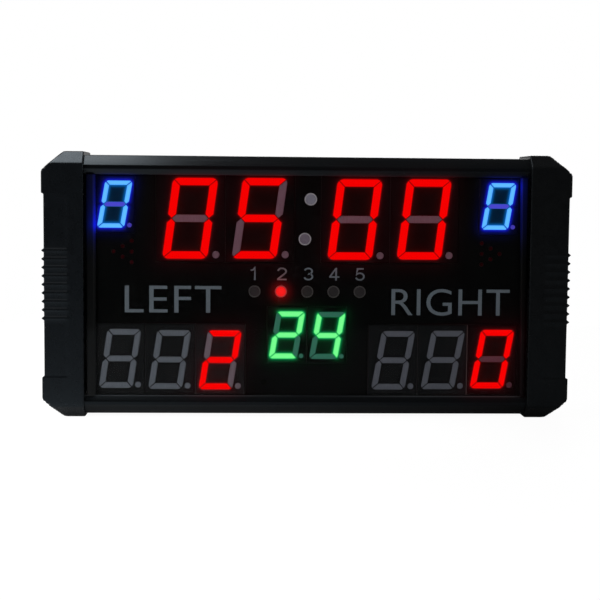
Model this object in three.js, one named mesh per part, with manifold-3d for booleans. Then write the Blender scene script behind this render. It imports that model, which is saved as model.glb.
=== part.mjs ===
// Portable electronic scoreboard: two aluminium rails, two moulded end caps, a clear front lens and a rear
// sheet carry a display board with fourteen seven-segment digit modules, round lamps and two lamp arrows.
// Millimetres, +Z up, the front faces -Y, and the origin is under the middle of the body at its lowest face.
import * as THREE from "three";
import { mergeVertices } from "three/addons/utils/BufferGeometryUtils.js";
import Module from "manifold-3d";

const wasm = await Module();
wasm.setup();

// Fits
const clearance = 0.3;
const cutOverrun = 1;
const degree = Math.PI / 180;

// Digit modules: each digit's own sizes, and the borders that its module leaves beside and above it
const scoreDigitCount = 3;
const slant = Math.tan(8 * degree);
const segmentGap = 1.0;
const moduleDepth = 10.6;
const fillWeb = 1.0;
const fillSetBack = 0.2;
const timerDigit = {
  height: 101.6,
  width: 55,
  bar: 9.7,
  corner: 5.6,
  sideBorder: 9,
  endBorder: 4.2,
  dotRadius: 4.6,
  dotGap: 7.5,
};
const scoreDigit = {
  height: 76.2,
  width: 43.5,
  bar: 7.4,
  corner: 4.2,
  sideBorder: 4.5,
  endBorder: 6.9,
  dotRadius: 3.8,
  dotGap: 2.5,
};
const smallDigit = {
  height: 59.5,
  width: 36.5,
  bar: 6.1,
  corner: 3.6,
  sideBorder: 2.9,
  endBorder: 6.25,
  dotRadius: 2.9,
  dotGap: 1.3,
};
for (const digit of [timerDigit, scoreDigit, smallDigit]) {
  digit.moduleWidth = digit.width + digit.height * slant + 2 * digit.sideBorder;
  digit.moduleHeight = digit.height + 2 * digit.endBorder;
}
const dotRise = 0.6;

// Round lamps and the two arrows of small lamps
const lampSides = 20;
const periodLampDiameter = 15.2;
const periodLampPitch = 33.4;
const periodLampCount = 5;
const colonLampDiameter = 15.8;
const colonSpacing = 50.2;
const lampHoleMargin = 0.3;
const lampFlange = 1.8;
const arrowLampDiameter = 5;
const arrowPitchX = 11.4;
const arrowPitchZ = 13.5;
const arrowHolderMargin = 4;
const arrowShift = 9.7;
const arrowDrop = 23.5;
const eyeDiameter = 6.4;
const eyeBlock = 10;
const eyeOffsetX = 54.4;
const eyeRise = 16;

// Rows of the display, from the window's lower edge up, and its columns
const moduleMargin = 0.75;
const shotRise = 40.85;
const lampGap = 11.8;
const timerGap = 29.25;
const colonGap = 33.4;
const foulGap = 26.1;
const scoreGap = 156.5;
const moduleUnderTrim = 2.25;

// Rails: one extruded section, used above and below the window
const railDepth = 81;
const railFace = 24.25;
const bevel = 13;
const rearBevel = 6;
const webWall = 2;
const ribWall = 1.8;
const lipWall = 2.2;
const lipDepth = 6.5;
const lipNose = 0.8;
const lipSlope = 6.8;
const slotDepth = 7.5;
const ribSetBack = 2.25;
const railInsert = 20;
const portY = 8;
const portDrop = 28.5;
const portRadius = 4;
const portBore = 2.1;
const portSteps = 10;

// Sheets that stand in the rails' slots
const lensThickness = 3;
const maskThickness = 2;
const boardThickness = 1.6;
const panelThickness = 2;
const sheetInsert = 12;
const boardInsert = 6;
const boardGap = 0.3;

// Trims that hold the lens between the rails
const trimWidth = 11;
const trimGap = 3.5;
const trimDepth = 3.6;
const trimLand = 5;
const trimNose = 0.6;

// End caps
const capWidth = 52;
const capProud = 4.5;
const capRim = 5;
const capRimDrop = 1.6;
const capEdge = 1.4;
const cornerRun = 26;
const cornerRise = 24;
const capSideWall = 6;
const capCornerWall = 4;
const returnWall = 3;
const gripHeight = 230;
const gripReach = 31.5;
const gripSideDepth = 2.8;
const gripFaceDepth = 2;
const gripRibCount = 9;
const gripRibPitch = 10.65;
const gripRibBase = 4.8;
const gripRibCrest = 1.4;
const bossRadius = 5.2;

// Cap screws
const screwShankRadius = 1.8;
const screwHeadRadius = 4;
const screwHeadHeight = 2.6;
const screwBite = 11;
const screwSides = 12;
const screwSeatDepth = 4.5;
const screwSlotWidth = 1.2;
const screwSlotDepth = 1.3;

// Rear sheet: power inlet, hanging keyholes and sound holes
const inletX = 200;
const inletZ = 92;
const inletFlangeWidth = 34;
const inletFlangeHeight = 66;
const inletFlangeThickness = 2.5;
const inletBodyWidth = 28;
const inletBodyHeight = 60;
const inletBodyDepth = 24;
const socketWidth = 24.4;
const socketHeight = 16.6;
const socketCorner = 5;
const socketDepth = 17;
const socketDrop = 17;
const pinLength = 12;
const pinWidth = 2;
const pinHeight = 4;
const pinSpacing = 7;
const pinStagger = 2;
const drawerWidth = 22;
const drawerHeight = 8;
const drawerDepth = 18;
const drawerRise = 1.5;
const drawerFaceProud = 1.6;
const drawerLip = 1.2;
const fuseLength = 20;
const fuseRadius = 2.6;
const fuseFloor = 1.4;
const fuseSetBack = 5;
const rockerLength = 19.2;
const rockerHeight = 12;
const rockerRise = 18;
const rockerPivotDepth = 4;
const rockerEnd = 4.8;
const rockerMiddle = 3.6;
const rockerFoot = 2.4;
const rockerFootShare = 0.8;
const rockerTilt = 12 * degree;
const rockerBayMargin = 1.3;
const rockerBayDepth = 10;
const keyholeX = 190;
const keyholeDrop = 72;
const keyholeHeadRadius = 5;
const keyholeSlotRadius = 2.6;
const keyholeLength = 16;
const soundHoleRadius = 1.6;
const soundHoleRing = 8;
const soundHoleCount = 6;

// Inside, on the rear sheet
const buzzerX = -210;
const buzzerZ = 92;
const buzzerRadius = 17;
const buzzerHeight = 16;
const standoffRadius = 3;
const standoffHeight = 8;
const standoffInset = 6;
const controlX = -60;
const controlZ = 150;
const controlWidth = 150;
const controlHeight = 100;
const controlPartDepth = 12;
// Each part's centre, width and height as shares of the board's, and its depth as a share of controlPartDepth
const controlPartShares = [
  [-0.25, 0.15, 0.15, 0.22, 0.25],
  [0.05, 0.1, 0.23, 0.12, 0.33],
  [0.28, -0.15, 0.11, 0.3, 1],
  [-0.18, -0.22, 0.27, 0.1, 0.75],
];
const supplyX = 105;
const supplyZ = 88;
const supplyWidth = 110;
const supplyHeight = 76;
const supplyDepth = 30;
const supplyEdge = 4;
const ribbonWidth = 20;
const ribbonThickness = 1.2;
const ribbonRise = 34;
const ribbonSteps = 18;

// Places worked out from the sizes above
const railBottom = capProud;
const windowBottom = railBottom + railFace;
const scoreZ = windowBottom + moduleMargin + scoreDigit.moduleHeight / 2;
const shotZ = windowBottom + shotRise + smallDigit.moduleHeight / 2;
const lampZ = shotZ + smallDigit.moduleHeight / 2 + lampGap + periodLampDiameter / 2;
const timerZ = lampZ + periodLampDiameter / 2 + timerGap + timerDigit.moduleHeight / 2;
const windowTop = timerZ + timerDigit.moduleHeight / 2 - moduleMargin;
const foulZ = windowTop - moduleMargin - clearance - smallDigit.moduleHeight / 2;
const railTop = windowTop + railFace;
const overallHeight = railTop + capProud;
const middleZ = overallHeight / 2;

const timerOuter = colonGap / 2 + 2 * timerDigit.moduleWidth + clearance;
const foulX = timerOuter + foulGap + smallDigit.moduleWidth / 2;
const foulOuter = foulX + smallDigit.moduleWidth / 2;
const scoreOuter = scoreGap / 2 + scoreDigitCount * (scoreDigit.moduleWidth + clearance);
const windowHalf = Math.max(scoreOuter, foulOuter) - moduleUnderTrim;
const capInner = windowHalf + trimWidth + trimGap;
const halfWidth = capInner + capWidth;
const railHalf = capInner + railInsert;
const sheetHalf = capInner + sheetInsert;
const boardHalf = capInner + boardInsert;

const railFront = -railDepth / 2;
const railRear = railDepth / 2;
const lensFront = railFront + lipDepth + clearance;
const lensRear = lensFront + lensThickness;
const maskFront = lensRear + clearance;
const maskRear = maskFront + maskThickness;
const moduleRear = maskFront + moduleDepth;
const fillFront = moduleRear + clearance;
const fillRear = fillFront + fillWeb;
const boardFront = fillRear + boardGap;
const boardRear = boardFront + boardThickness;
const panelRear = railRear - lipWall - clearance;
const panelFront = panelRear - panelThickness;
const sheetBottom = windowBottom - slotDepth + clearance;
const sheetTop = windowTop + slotDepth - clearance;
const capFront = railFront - capProud;
const capRear = railRear + capProud;
const screwZ = railTop - portDrop;
const inletSeat = panelRear + clearance;
const inletFace = inletSeat + inletFlangeThickness;
const drawerRoot = inletFace - drawerDepth;
const drawerZ = inletZ + drawerRise;
const rockerZ = inletZ + rockerRise;
const eyeX = -eyeOffsetX;
const eyeZ = windowBottom + eyeRise;

const finish = {
  anodised: { color: 0x141517, roughness: 0.42, metalness: 0.5 },
  moulded: { color: 0x131416, roughness: 0.62, metalness: 0 },
  trim: { color: 0x17181b, roughness: 0.5, metalness: 0 },
  lens: { color: 0xe8eef2, roughness: 0.04, metalness: 0, transparent: true, opacity: 0.15 },
  mask: { color: 0x050606, roughness: 0.55, metalness: 0 },
  board: { color: 0x0d3a1e, roughness: 0.5, metalness: 0 },
  housing: { color: 0x1b1b1d, roughness: 0.5, metalness: 0 },
  unlit: { color: 0x5a5a62, roughness: 0.35, metalness: 0 },
  lamp: { color: 0xa9a3aa, roughness: 0.3, metalness: 0 },
  redLamp: { color: 0x5a0a0a, roughness: 0.3, metalness: 0 },
  panel: { color: 0x1a1b1d, roughness: 0.5, metalness: 0.4 },
  socket: { color: 0x0a0a0b, roughness: 0.4, metalness: 0 },
  rocker: { color: 0xb01a14, roughness: 0.35, metalness: 0 },
  steel: { color: 0x9a9ca0, roughness: 0.35, metalness: 0.9 },
  zinc: { color: 0xb8babd, roughness: 0.4, metalness: 0.8 },
  ribbon: { color: 0x8a8d92, roughness: 0.6, metalness: 0 },
};

// A closed solid from a geometry: only its positions are kept, and shared corners are merged.
function solid(geometry) {
  const bare = geometry.index ? geometry.toNonIndexed() : geometry.clone();
  const positions = new THREE.BufferGeometry().setAttribute("position", bare.getAttribute("position"));
  const merged = mergeVertices(positions, 1e-4);
  return new wasm.Manifold(
    new wasm.Mesh({
      numProp: 3,
      vertProperties: merged.attributes.position.array,
      triVerts: new Uint32Array(merged.index.array),
    }),
  );
}

// The flat-shaded geometry of a solid.
function geometryOf(body) {
  const made = body.getMesh();
  const points = new Float32Array(made.numVert * 3);
  for (let i = 0; i < made.numVert; i++) {
    points.set(made.vertProperties.subarray(i * made.numProp, i * made.numProp + 3), i * 3);
  }
  const indexed = new THREE.BufferGeometry();
  indexed.setAttribute("position", new THREE.BufferAttribute(points, 3));
  indexed.setIndex(new THREE.BufferAttribute(made.triVerts, 1));
  const flat = indexed.toNonIndexed();
  flat.computeVertexNormals();
  return flat;
}

function shapeOf(points) {
  return new THREE.Shape(points.map(([u, v]) => new THREE.Vector2(u, v)));
}

// A prism along Y from an outline in X and Z, between two Y planes.
function prismY(points, y0, y1) {
  const geometry = new THREE.ExtrudeGeometry(shapeOf(points), { depth: y1 - y0, bevelEnabled: false });
  const turn = new THREE.Matrix4().makeBasis(
    new THREE.Vector3(1, 0, 0),
    new THREE.Vector3(0, 0, 1),
    new THREE.Vector3(0, -1, 0),
  );
  return solid(geometry.applyMatrix4(turn).translate(0, y1, 0));
}

// A prism along X from an outline in Y and Z, between two X planes.
function prismX(points, x0, x1) {
  const geometry = new THREE.ExtrudeGeometry(shapeOf(points), { depth: x1 - x0, bevelEnabled: false });
  const turn = new THREE.Matrix4().makeBasis(
    new THREE.Vector3(0, 1, 0),
    new THREE.Vector3(0, 0, 1),
    new THREE.Vector3(1, 0, 0),
  );
  return solid(geometry.applyMatrix4(turn).translate(x0, 0, 0));
}

// A prism along Z from an outline in X and Y, between two Z planes.
function prismZ(points, z0, z1) {
  const geometry = new THREE.ExtrudeGeometry(shapeOf(points), { depth: z1 - z0, bevelEnabled: false });
  return solid(geometry.translate(0, 0, z0));
}

function block(x0, x1, y0, y1, z0, z1) {
  const geometry = new THREE.BoxGeometry(x1 - x0, y1 - y0, z1 - z0);
  return solid(geometry.translate((x0 + x1) / 2, (y0 + y1) / 2, (z0 + z1) / 2));
}

// A block about a centre in X and Z, between two Y planes.
function blockAt(x, width, y0, y1, z, height) {
  return block(x - width / 2, x + width / 2, y0, y1, z - height / 2, z + height / 2);
}

function rectangle(x0, x1, z0, z1) {
  return [
    [x0, z0],
    [x1, z0],
    [x1, z1],
    [x0, z1],
  ];
}

function circle(u, v, radius, sides) {
  return Array.from({ length: sides }, (_, i) => {
    const angle = ((i + 0.5) / sides) * 2 * Math.PI;
    return [u + radius * Math.cos(angle), v + radius * Math.sin(angle)];
  });
}

// A solid through rings of equal counts, each ring an outline in Y and Z at its own X.
function loftX(rings) {
  const count = rings[0].points.length;
  const at = (r, i) => [rings[r].x, ...rings[r].points[i % count]];
  const corners = [];
  for (let r = 0; r + 1 < rings.length; r++) {
    for (let i = 0; i < count; i++) {
      corners.push(at(r, i), at(r, i + 1), at(r + 1, i + 1));
      corners.push(at(r, i), at(r + 1, i + 1), at(r + 1, i));
    }
  }
  const last = rings.length - 1;
  for (let i = 1; i + 1 < count; i++) {
    corners.push(at(0, 0), at(0, i + 1), at(0, i));
    corners.push(at(last, 0), at(last, i), at(last, i + 1));
  }
  const geometry = new THREE.BufferGeometry();
  geometry.setAttribute("position", new THREE.Float32BufferAttribute(corners.flat(), 3));
  return solid(geometry);
}

function join(solids) {
  return solids.reduce((whole, next) => whole.add(next));
}

// A plate with openings right through it: outlines in X and Z, between two Y planes.
function piercedPlate(outline, openings, y0, y1) {
  const cutters = openings.map((opening) => prismY(opening, y0 - cutOverrun, y1 + cutOverrun));
  return prismY(outline, y0, y1).subtract(join(cutters));
}

const scoreboard = new THREE.Group();

function addPiece(name, body, look) {
  const mesh = new THREE.Mesh(geometryOf(body), new THREE.MeshStandardMaterial(finish[look]));
  mesh.name = name;
  scoreboard.add(mesh);
  return mesh;
}

// The same piece mirrored to the other side of the body's middle.
function addMirrored(name, original) {
  const twin = original.clone();
  twin.name = name;
  twin.scale.x = -1;
  scoreboard.add(twin);
}

// The body's outline in Y and Z, grown outwards by an offset: a tall box with both long edges bevelled.
function bodyOutline(offset) {
  const growth = offset * (2 - Math.SQRT2);
  const front = railFront - offset;
  const rear = railRear + offset;
  const low = railBottom - offset;
  const high = railTop + offset;
  const frontLeg = bevel + growth;
  const rearLeg = rearBevel + growth;
  return [
    [front, low + frontLeg],
    [front + frontLeg, low],
    [rear - rearLeg, low],
    [rear, low + rearLeg],
    [rear, high - rearLeg],
    [rear - rearLeg, high],
    [front + frontLeg, high],
    [front, high - frontLeg],
  ];
}

// The upper rail's section as points of Y and the depth below the rail's outer face.
function railSection() {
  const slotFloor = railFace - slotDepth;
  const ribEnd = railFace - ribSetBack;
  const rearSlot = panelFront - clearance;
  const lensSlot = lensFront - clearance;
  const maskSlot = maskRear + clearance;
  const boardSlotFront = boardFront - clearance;
  const boardSlotRear = boardRear + clearance;
  const portWeb = Math.asin(webWall / 2 / portRadius);
  const port = [];
  for (let i = 0; i <= portSteps; i++) {
    const angle = portWeb + (i / portSteps) * (2 * Math.PI - 2 * portWeb);
    port.push([portY + portRadius * Math.sin(angle), portDrop - portRadius * Math.cos(angle)]);
  }
  return [
    [railFront + bevel, 0],
    [railRear - rearBevel, 0],
    [railRear, rearBevel],
    [railRear, railFace],
    [railRear - lipWall, railFace],
    [railRear - lipWall, slotFloor],
    [rearSlot, slotFloor],
    [rearSlot, ribEnd],
    [rearSlot - ribWall, ribEnd],
    [rearSlot - ribWall, webWall],
    [portY + webWall / 2, webWall],
    ...port,
    [portY - webWall / 2, webWall],
    [boardSlotRear + ribWall, webWall],
    [boardSlotRear + ribWall, ribEnd],
    [boardSlotRear, ribEnd],
    [boardSlotRear, slotFloor],
    [boardSlotFront, slotFloor],
    [boardSlotFront, ribEnd],
    [boardSlotFront - ribWall, ribEnd],
    [boardSlotFront - ribWall, webWall],
    [maskSlot + ribWall, webWall],
    [maskSlot + ribWall, ribEnd],
    [maskSlot, ribEnd],
    [maskSlot, slotFloor],
    [lensSlot, slotFloor],
    [lensSlot, railFace],
    [lensSlot - lipNose, railFace],
    [railFront, railFace - lipSlope],
    [railFront, bevel],
  ];
}

function addRails() {
  const section = railSection().map(([y, depth]) => [y, railTop - depth]);
  const bore = circle(portY, railTop - portDrop, portBore, portSteps);
  const cutter = prismX(bore, -railHalf - cutOverrun, railHalf + cutOverrun);
  const top = addPiece("top_rail", prismX(section, -railHalf, railHalf).subtract(cutter), "anodised");
  const bottom = top.clone();
  bottom.name = "bottom_rail";
  bottom.scale.z = -1;
  bottom.position.z = overallHeight;
  scoreboard.add(bottom);
}

// The end cap's front outline in X and Z, with both outer corners cut, moved inwards by an inset.
function capOutline(inset) {
  const length = Math.hypot(cornerRun, cornerRise);
  const normal = { x: cornerRise / length, z: cornerRun / length };
  const side = halfWidth - inset;
  const top = overallHeight - inset;
  const reach = normal.x * halfWidth + normal.z * (overallHeight - cornerRise) - inset;
  const sideZ = (reach - normal.x * side) / normal.z;
  const topX = (reach - normal.z * top) / normal.x;
  const inner = capInner - cutOverrun;
  const upper = [
    [side, sideZ],
    [topX, top],
    [inner, top],
  ];
  const lower = upper.map(([x, z]) => [x, overallHeight - z]).reverse();
  return [...lower, ...upper];
}

// A rib's cross-section about its height: pairs of the distance out from its seat and the height.
function ribSection(z, depth) {
  return [
    [-cutOverrun, z - gripRibBase / 2],
    [0, z - gripRibBase / 2],
    [depth, z - gripRibCrest / 2],
    [depth, z + gripRibCrest / 2],
    [0, z + gripRibBase / 2],
    [-cutOverrun, z + gripRibBase / 2],
  ];
}

// One rib of the grip, round the front, the side and the rear of the cap.
function gripRib(z) {
  const seatX = halfWidth - gripSideDepth;
  const seatFront = capFront + gripFaceDepth;
  const seatRear = capRear - gripFaceDepth;
  const inner = halfWidth - gripReach;
  const front = prismX(ribSection(z, gripFaceDepth).map(([d, v]) => [seatFront - d, v]), inner, halfWidth);
  const rear = prismX(ribSection(z, gripFaceDepth).map(([d, v]) => [seatRear + d, v]), inner, halfWidth);
  const side = prismY(ribSection(z, gripSideDepth).map(([d, v]) => [seatX + d, v]), capFront, capRear);
  return join([front, side, rear]);
}

function gripRecess() {
  const low = middleZ - gripHeight / 2;
  const high = middleZ + gripHeight / 2;
  const outside = halfWidth + cutOverrun;
  const inner = halfWidth - gripReach;
  return join([
    block(inner, outside, capFront - cutOverrun, capFront + gripFaceDepth, low, high),
    block(inner, outside, capRear - gripFaceDepth, capRear + cutOverrun, low, high),
    block(halfWidth - gripSideDepth, outside, capFront - cutOverrun, capRear + cutOverrun, low, high),
  ]);
}

function addEndCaps() {
  const outer = loftX([
    { x: capInner, points: bodyOutline(capProud - capRimDrop) },
    { x: capInner + capRim, points: bodyOutline(capProud) },
    { x: halfWidth - capEdge, points: bodyOutline(capProud) },
    { x: halfWidth, points: bodyOutline(capProud - capEdge) },
  ]).intersect(prismY(capOutline(0), capFront - cutOverrun, capRear + cutOverrun));
  const ribs = [];
  for (let i = 0; i < gripRibCount; i++) {
    ribs.push(gripRib(middleZ + (i - (gripRibCount - 1) / 2) * gripRibPitch));
  }
  const cavity = prismX(bodyOutline(clearance), capInner - cutOverrun, halfWidth - capSideWall).intersect(
    prismY(capOutline(capCornerWall), capFront, capRear),
  );
  const screwHeights = [screwZ, overallHeight - screwZ];
  const bossStart = railHalf + clearance;
  const bosses = screwHeights.map((z) =>
    prismX(circle(portY, z, bossRadius, screwSides), bossStart, halfWidth - capSideWall + cutOverrun),
  );
  const shankHole = screwShankRadius + clearance;
  const seat = halfWidth - screwSeatDepth;
  const holes = screwHeights.flatMap((z) => [
    prismX(circle(portY, z, shankHole, screwSides), bossStart - cutOverrun, halfWidth + cutOverrun),
    prismX(circle(portY, z, screwHeadRadius + clearance, screwSides), seat, halfWidth + cutOverrun),
  ]);
  const wallInside = capProud / 2;
  const returns = [
    [railFront - wallInside, lensFront - clearance],
    [panelRear + clearance, railRear + wallInside],
  ].map(([y0, y1]) =>
    block(capInner, capInner + returnWall, y0, y1, windowBottom + clearance, windowTop - clearance),
  );
  const shell = outer.subtract(gripRecess()).add(join(ribs).intersect(outer)).subtract(cavity);
  const cap = shell.add(join([...bosses, ...returns])).subtract(join(holes));
  addMirrored("left_end_cap", addPiece("right_end_cap", cap, "moulded"));
}

// A pan-head screw along X: head outside with a cross slot, shank towards the rail's port.
function capScrew(z) {
  const seat = halfWidth - screwSeatDepth + clearance;
  const tip = railHalf - screwBite;
  const shank = prismX(circle(portY, z, screwShankRadius, screwSides), tip, seat + cutOverrun);
  const head = prismX(circle(portY, z, screwHeadRadius, screwSides), seat, seat + screwHeadHeight);
  const slotFloor = seat + screwHeadHeight - screwSlotDepth;
  const reach = screwHeadRadius - screwSlotWidth;
  const half = screwSlotWidth / 2;
  const outside = seat + screwHeadHeight + cutOverrun;
  const upright = block(slotFloor, outside, portY - half, portY + half, z - reach, z + reach);
  const level = block(slotFloor, outside, portY - reach, portY + reach, z - half, z + half);
  return head.add(shank).subtract(upright).subtract(level);
}

function addCapScrews() {
  const upper = addPiece("right_cap_screw_upper", capScrew(screwZ), "steel");
  const lower = addPiece("right_cap_screw_lower", capScrew(overallHeight - screwZ), "steel");
  addMirrored("left_cap_screw_upper", upper);
  addMirrored("left_cap_screw_lower", lower);
}

function addLensAndTrims() {
  addPiece("front_lens", block(-sheetHalf, sheetHalf, lensFront, lensRear, sheetBottom, sheetTop), "lens");
  const seat = lensFront - clearance;
  const outer = windowHalf + trimWidth;
  const section = [
    [windowHalf, seat],
    [outer, seat],
    [outer, seat - trimDepth],
    [outer - trimLand, seat - trimDepth],
    [windowHalf, seat - trimNose],
  ];
  const strip = prismZ(section, windowBottom + clearance, windowTop - clearance);
  addMirrored("left_lens_trim", addPiece("right_lens_trim", strip, "trim"));
}

// The seven bars of a digit about its centre: outlines in X and Z, drawn in by an inset on all sides.
function segmentOutlines(digit, inset) {
  const w = digit.width / 2 - inset;
  const h = digit.height / 2 - inset;
  const t = digit.bar - 2 * inset;
  const c = digit.corner - inset * (2 - Math.SQRT2);
  const s = segmentGap / Math.SQRT2 + inset * Math.SQRT2;
  const top = [
    [c - w, h],
    [w - c, h],
    [w - c / 2 - s, h - c / 2],
    [w - t - s, h - t],
    [t + s - w, h - t],
    [c / 2 + s - w, h - c / 2],
  ];
  const side = [
    [w, h - c],
    [w, t / 2 + s],
    [w - t / 2, s],
    [w - t, t / 2 + s],
    [w - t, h - t - s],
    [w - c / 2, h - c / 2 - s],
  ];
  const middle = [
    [t / 2 + s - w, 0],
    [t + s - w, t / 2],
    [w - t - s, t / 2],
    [w - t / 2 - s, 0],
    [w - t - s, -t / 2],
    [t + s - w, -t / 2],
  ];
  const mirrored = (points, sx, sz) => points.map(([x, z]) => [x * sx, z * sz]);
  const bars = [top, middle, mirrored(top, 1, -1)];
  for (const sx of [1, -1]) {
    for (const sz of [1, -1]) {
      bars.push(mirrored(side, sx, sz));
    }
  }
  return bars.map((bar) => bar.map(([x, z]) => [x + z * slant, z]));
}

// The dot's outline, beside the foot of the digit.
function dotOutline(digit, inset) {
  const z = digit.dotRadius + dotRise - digit.height / 2;
  const x = (digit.width - digit.height * slant) / 2 + digit.dotGap + digit.dotRadius;
  return circle(x, z, digit.dotRadius - inset, lampSides / 2);
}

// A digit module: an open housing with a well for each bar, and the clear filling that carries the light.
function addDigit(name, digit, x, z) {
  const placed = (outline) => outline.map(([u, v]) => [x + u, z + v]);
  const wells = [...segmentOutlines(digit, 0), dotOutline(digit, 0)].map(placed);
  const w = digit.moduleWidth / 2;
  const h = digit.moduleHeight / 2;
  const frame = rectangle(x - w, x + w, z - h, z + h);
  addPiece(name + "_housing", piercedPlate(frame, wells, maskFront, moduleRear), "housing");
  const lights = [...segmentOutlines(digit, clearance), dotOutline(digit, clearance)].map((outline) =>
    prismY(placed(outline), maskFront + fillSetBack, fillFront + fillWeb / 2),
  );
  const web = block(x - w, x + w, fillFront, fillRear, z - h, z + h);
  addPiece(name + "_segments", join([web, ...lights]), "unlit");
}

// Where each digit module stands: its name, its size, and its centre in X and Z.
function digitPlaces() {
  const places = [];
  const timerPitch = timerDigit.moduleWidth + clearance;
  const scorePitch = scoreDigit.moduleWidth + clearance;
  const smallPitch = smallDigit.moduleWidth + clearance;
  const timerStart = colonGap / 2 + timerDigit.moduleWidth / 2;
  [-timerStart - timerPitch, -timerStart, timerStart, timerStart + timerPitch].forEach((x, i) => {
    places.push(["timer_digit_" + (i + 1), timerDigit, x, timerZ]);
  });
  for (let i = 0; i < scoreDigitCount; i++) {
    const offset = scoreGap / 2 + scoreDigit.moduleWidth / 2 + i * scorePitch;
    places.push(["left_score_digit_" + (scoreDigitCount - i), scoreDigit, -offset, scoreZ]);
    places.push(["right_score_digit_" + (i + 1), scoreDigit, offset, scoreZ]);
  }
  places.push(["shot_digit_1", smallDigit, -smallPitch / 2, shotZ]);
  places.push(["shot_digit_2", smallDigit, smallPitch / 2, shotZ]);
  places.push(["left_foul_digit", smallDigit, -foulX, foulZ]);
  places.push(["right_foul_digit", smallDigit, foulX, foulZ]);
  return places;
}

// The round lamps of the display: name, diameter, and centre in X and Z.
function lampPlaces() {
  const lamps = [];
  for (let i = 0; i < periodLampCount; i++) {
    const x = (i - (periodLampCount - 1) / 2) * periodLampPitch;
    lamps.push(["period_lamp_" + (i + 1), periodLampDiameter, x, lampZ]);
  }
  const half = colonSpacing / 2;
  lamps.push(["colon_lamp_upper", colonLampDiameter, half * slant, timerZ + half]);
  lamps.push(["colon_lamp_lower", colonLampDiameter, -half * slant, timerZ - half]);
  return lamps;
}

// Steps back from an arrow's tip and up from its middle, in lamp pitches.
const arrowStepShares = [
  [0, 0],
  [1, 0.5],
  [1, -0.5],
  [2, 1],
  [2, 0],
  [2, -1],
];

// The six small lamps of an arrow that points away from the middle, on the side given by its sign.
function arrowPlaces(sign) {
  const tip = foulX - arrowShift + arrowPitchX;
  const z = foulZ - smallDigit.moduleHeight / 2 - arrowDrop;
  return arrowStepShares.map(([back, up]) => [sign * (tip - back * arrowPitchX), z + up * arrowPitchZ]);
}

// The black sheet behind the lens, open at every module and lamp.
function addMask() {
  const openings = [];
  const groups = [["timer_digit_1", "timer_digit_2"], ["timer_digit_3", "timer_digit_4"]];
  groups.push(["left_score_digit_1", "left_score_digit_3"], ["right_score_digit_1", "right_score_digit_3"]);
  groups.push(["shot_digit_1", "shot_digit_2"]);
  groups.push(["left_foul_digit", "left_foul_digit"], ["right_foul_digit", "right_foul_digit"]);
  const places = new Map(digitPlaces().map((place) => [place[0], place]));
  for (const [first, last] of groups) {
    const [, digit, x0, z] = places.get(first);
    const x1 = places.get(last)[2];
    const w = digit.moduleWidth / 2 + clearance;
    const h = digit.moduleHeight / 2 + clearance;
    openings.push(rectangle(x0 - w, x1 + w, z - h, z + h));
  }
  for (const [, diameter, x, z] of lampPlaces()) {
    openings.push(circle(x, z, diameter / 2 + lampHoleMargin, lampSides));
  }
  for (const [x, z] of [...arrowPlaces(1), ...arrowPlaces(-1)]) {
    openings.push(circle(x, z, arrowLampDiameter / 2 + lampHoleMargin, lampSides / 2));
  }
  openings.push(circle(eyeX, eyeZ, eyeDiameter / 2 + lampHoleMargin, lampSides / 2));
  const sheet = rectangle(-sheetHalf, sheetHalf, sheetBottom, sheetTop);
  addPiece("mask_panel", piercedPlate(sheet, openings, maskFront, maskRear), "mask");
}

// Lamps stand on the display board and look out through the mask.
function addLamps() {
  const seat = boardFront - clearance;
  const shoulder = maskRear + clearance;
  for (const [name, diameter, x, z] of lampPlaces()) {
    const nose = prismY(circle(x, z, diameter / 2, lampSides), maskFront + fillSetBack, seat);
    const body = prismY(circle(x, z, diameter / 2 + lampFlange, lampSides), shoulder, seat);
    addPiece(name, nose.add(body), "lamp");
  }
  const smallNose = (x, z, diameter) => {
    const outline = circle(x, z, diameter / 2, lampSides / 2);
    return prismY(outline, maskFront + fillSetBack, shoulder + cutOverrun);
  };
  for (const [name, sign] of [["left_arrow_lamps", -1], ["right_arrow_lamps", 1]]) {
    const lamps = arrowPlaces(sign);
    const margin = arrowLampDiameter / 2 + arrowHolderMargin;
    const xs = lamps.map(([x]) => x);
    const zs = lamps.map(([, z]) => z);
    const [left, right] = [Math.min(...xs) - margin, Math.max(...xs) + margin];
    const [low, high] = [Math.min(...zs) - margin, Math.max(...zs) + margin];
    const holder = block(left, right, shoulder, seat, low, high);
    const noses = lamps.map(([x, z]) => smallNose(x, z, arrowLampDiameter));
    addPiece(name, join([holder, ...noses]), "redLamp");
  }
  const base = blockAt(eyeX, eyeBlock, shoulder, seat, eyeZ, eyeBlock);
  addPiece("remote_eye", smallNose(eyeX, eyeZ, eyeDiameter).add(base), "socket");
}

function addDisplayBoard() {
  const board = block(-boardHalf, boardHalf, boardFront, boardRear, sheetBottom, sheetTop);
  addPiece("display_board", board, "board");
}

// A keyhole: a round way in for a screw head, and a slot above it that hangs on the screw.
function keyholeOutline(x, z) {
  const points = [];
  const mouth = Math.asin(keyholeSlotRadius / keyholeHeadRadius);
  const turn = 2 * Math.PI - 2 * mouth;
  for (let i = 0; i <= lampSides; i++) {
    const angle = mouth + (i / lampSides) * turn;
    points.push([x + keyholeHeadRadius * Math.sin(angle), z + keyholeHeadRadius * Math.cos(angle)]);
  }
  const top = z + keyholeLength;
  const steps = lampSides / 2;
  for (let i = 0; i <= steps; i++) {
    const angle = Math.PI - (i / steps) * Math.PI;
    points.push([x + keyholeSlotRadius * Math.cos(angle), top + keyholeSlotRadius * Math.sin(angle)]);
  }
  return points;
}

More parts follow.
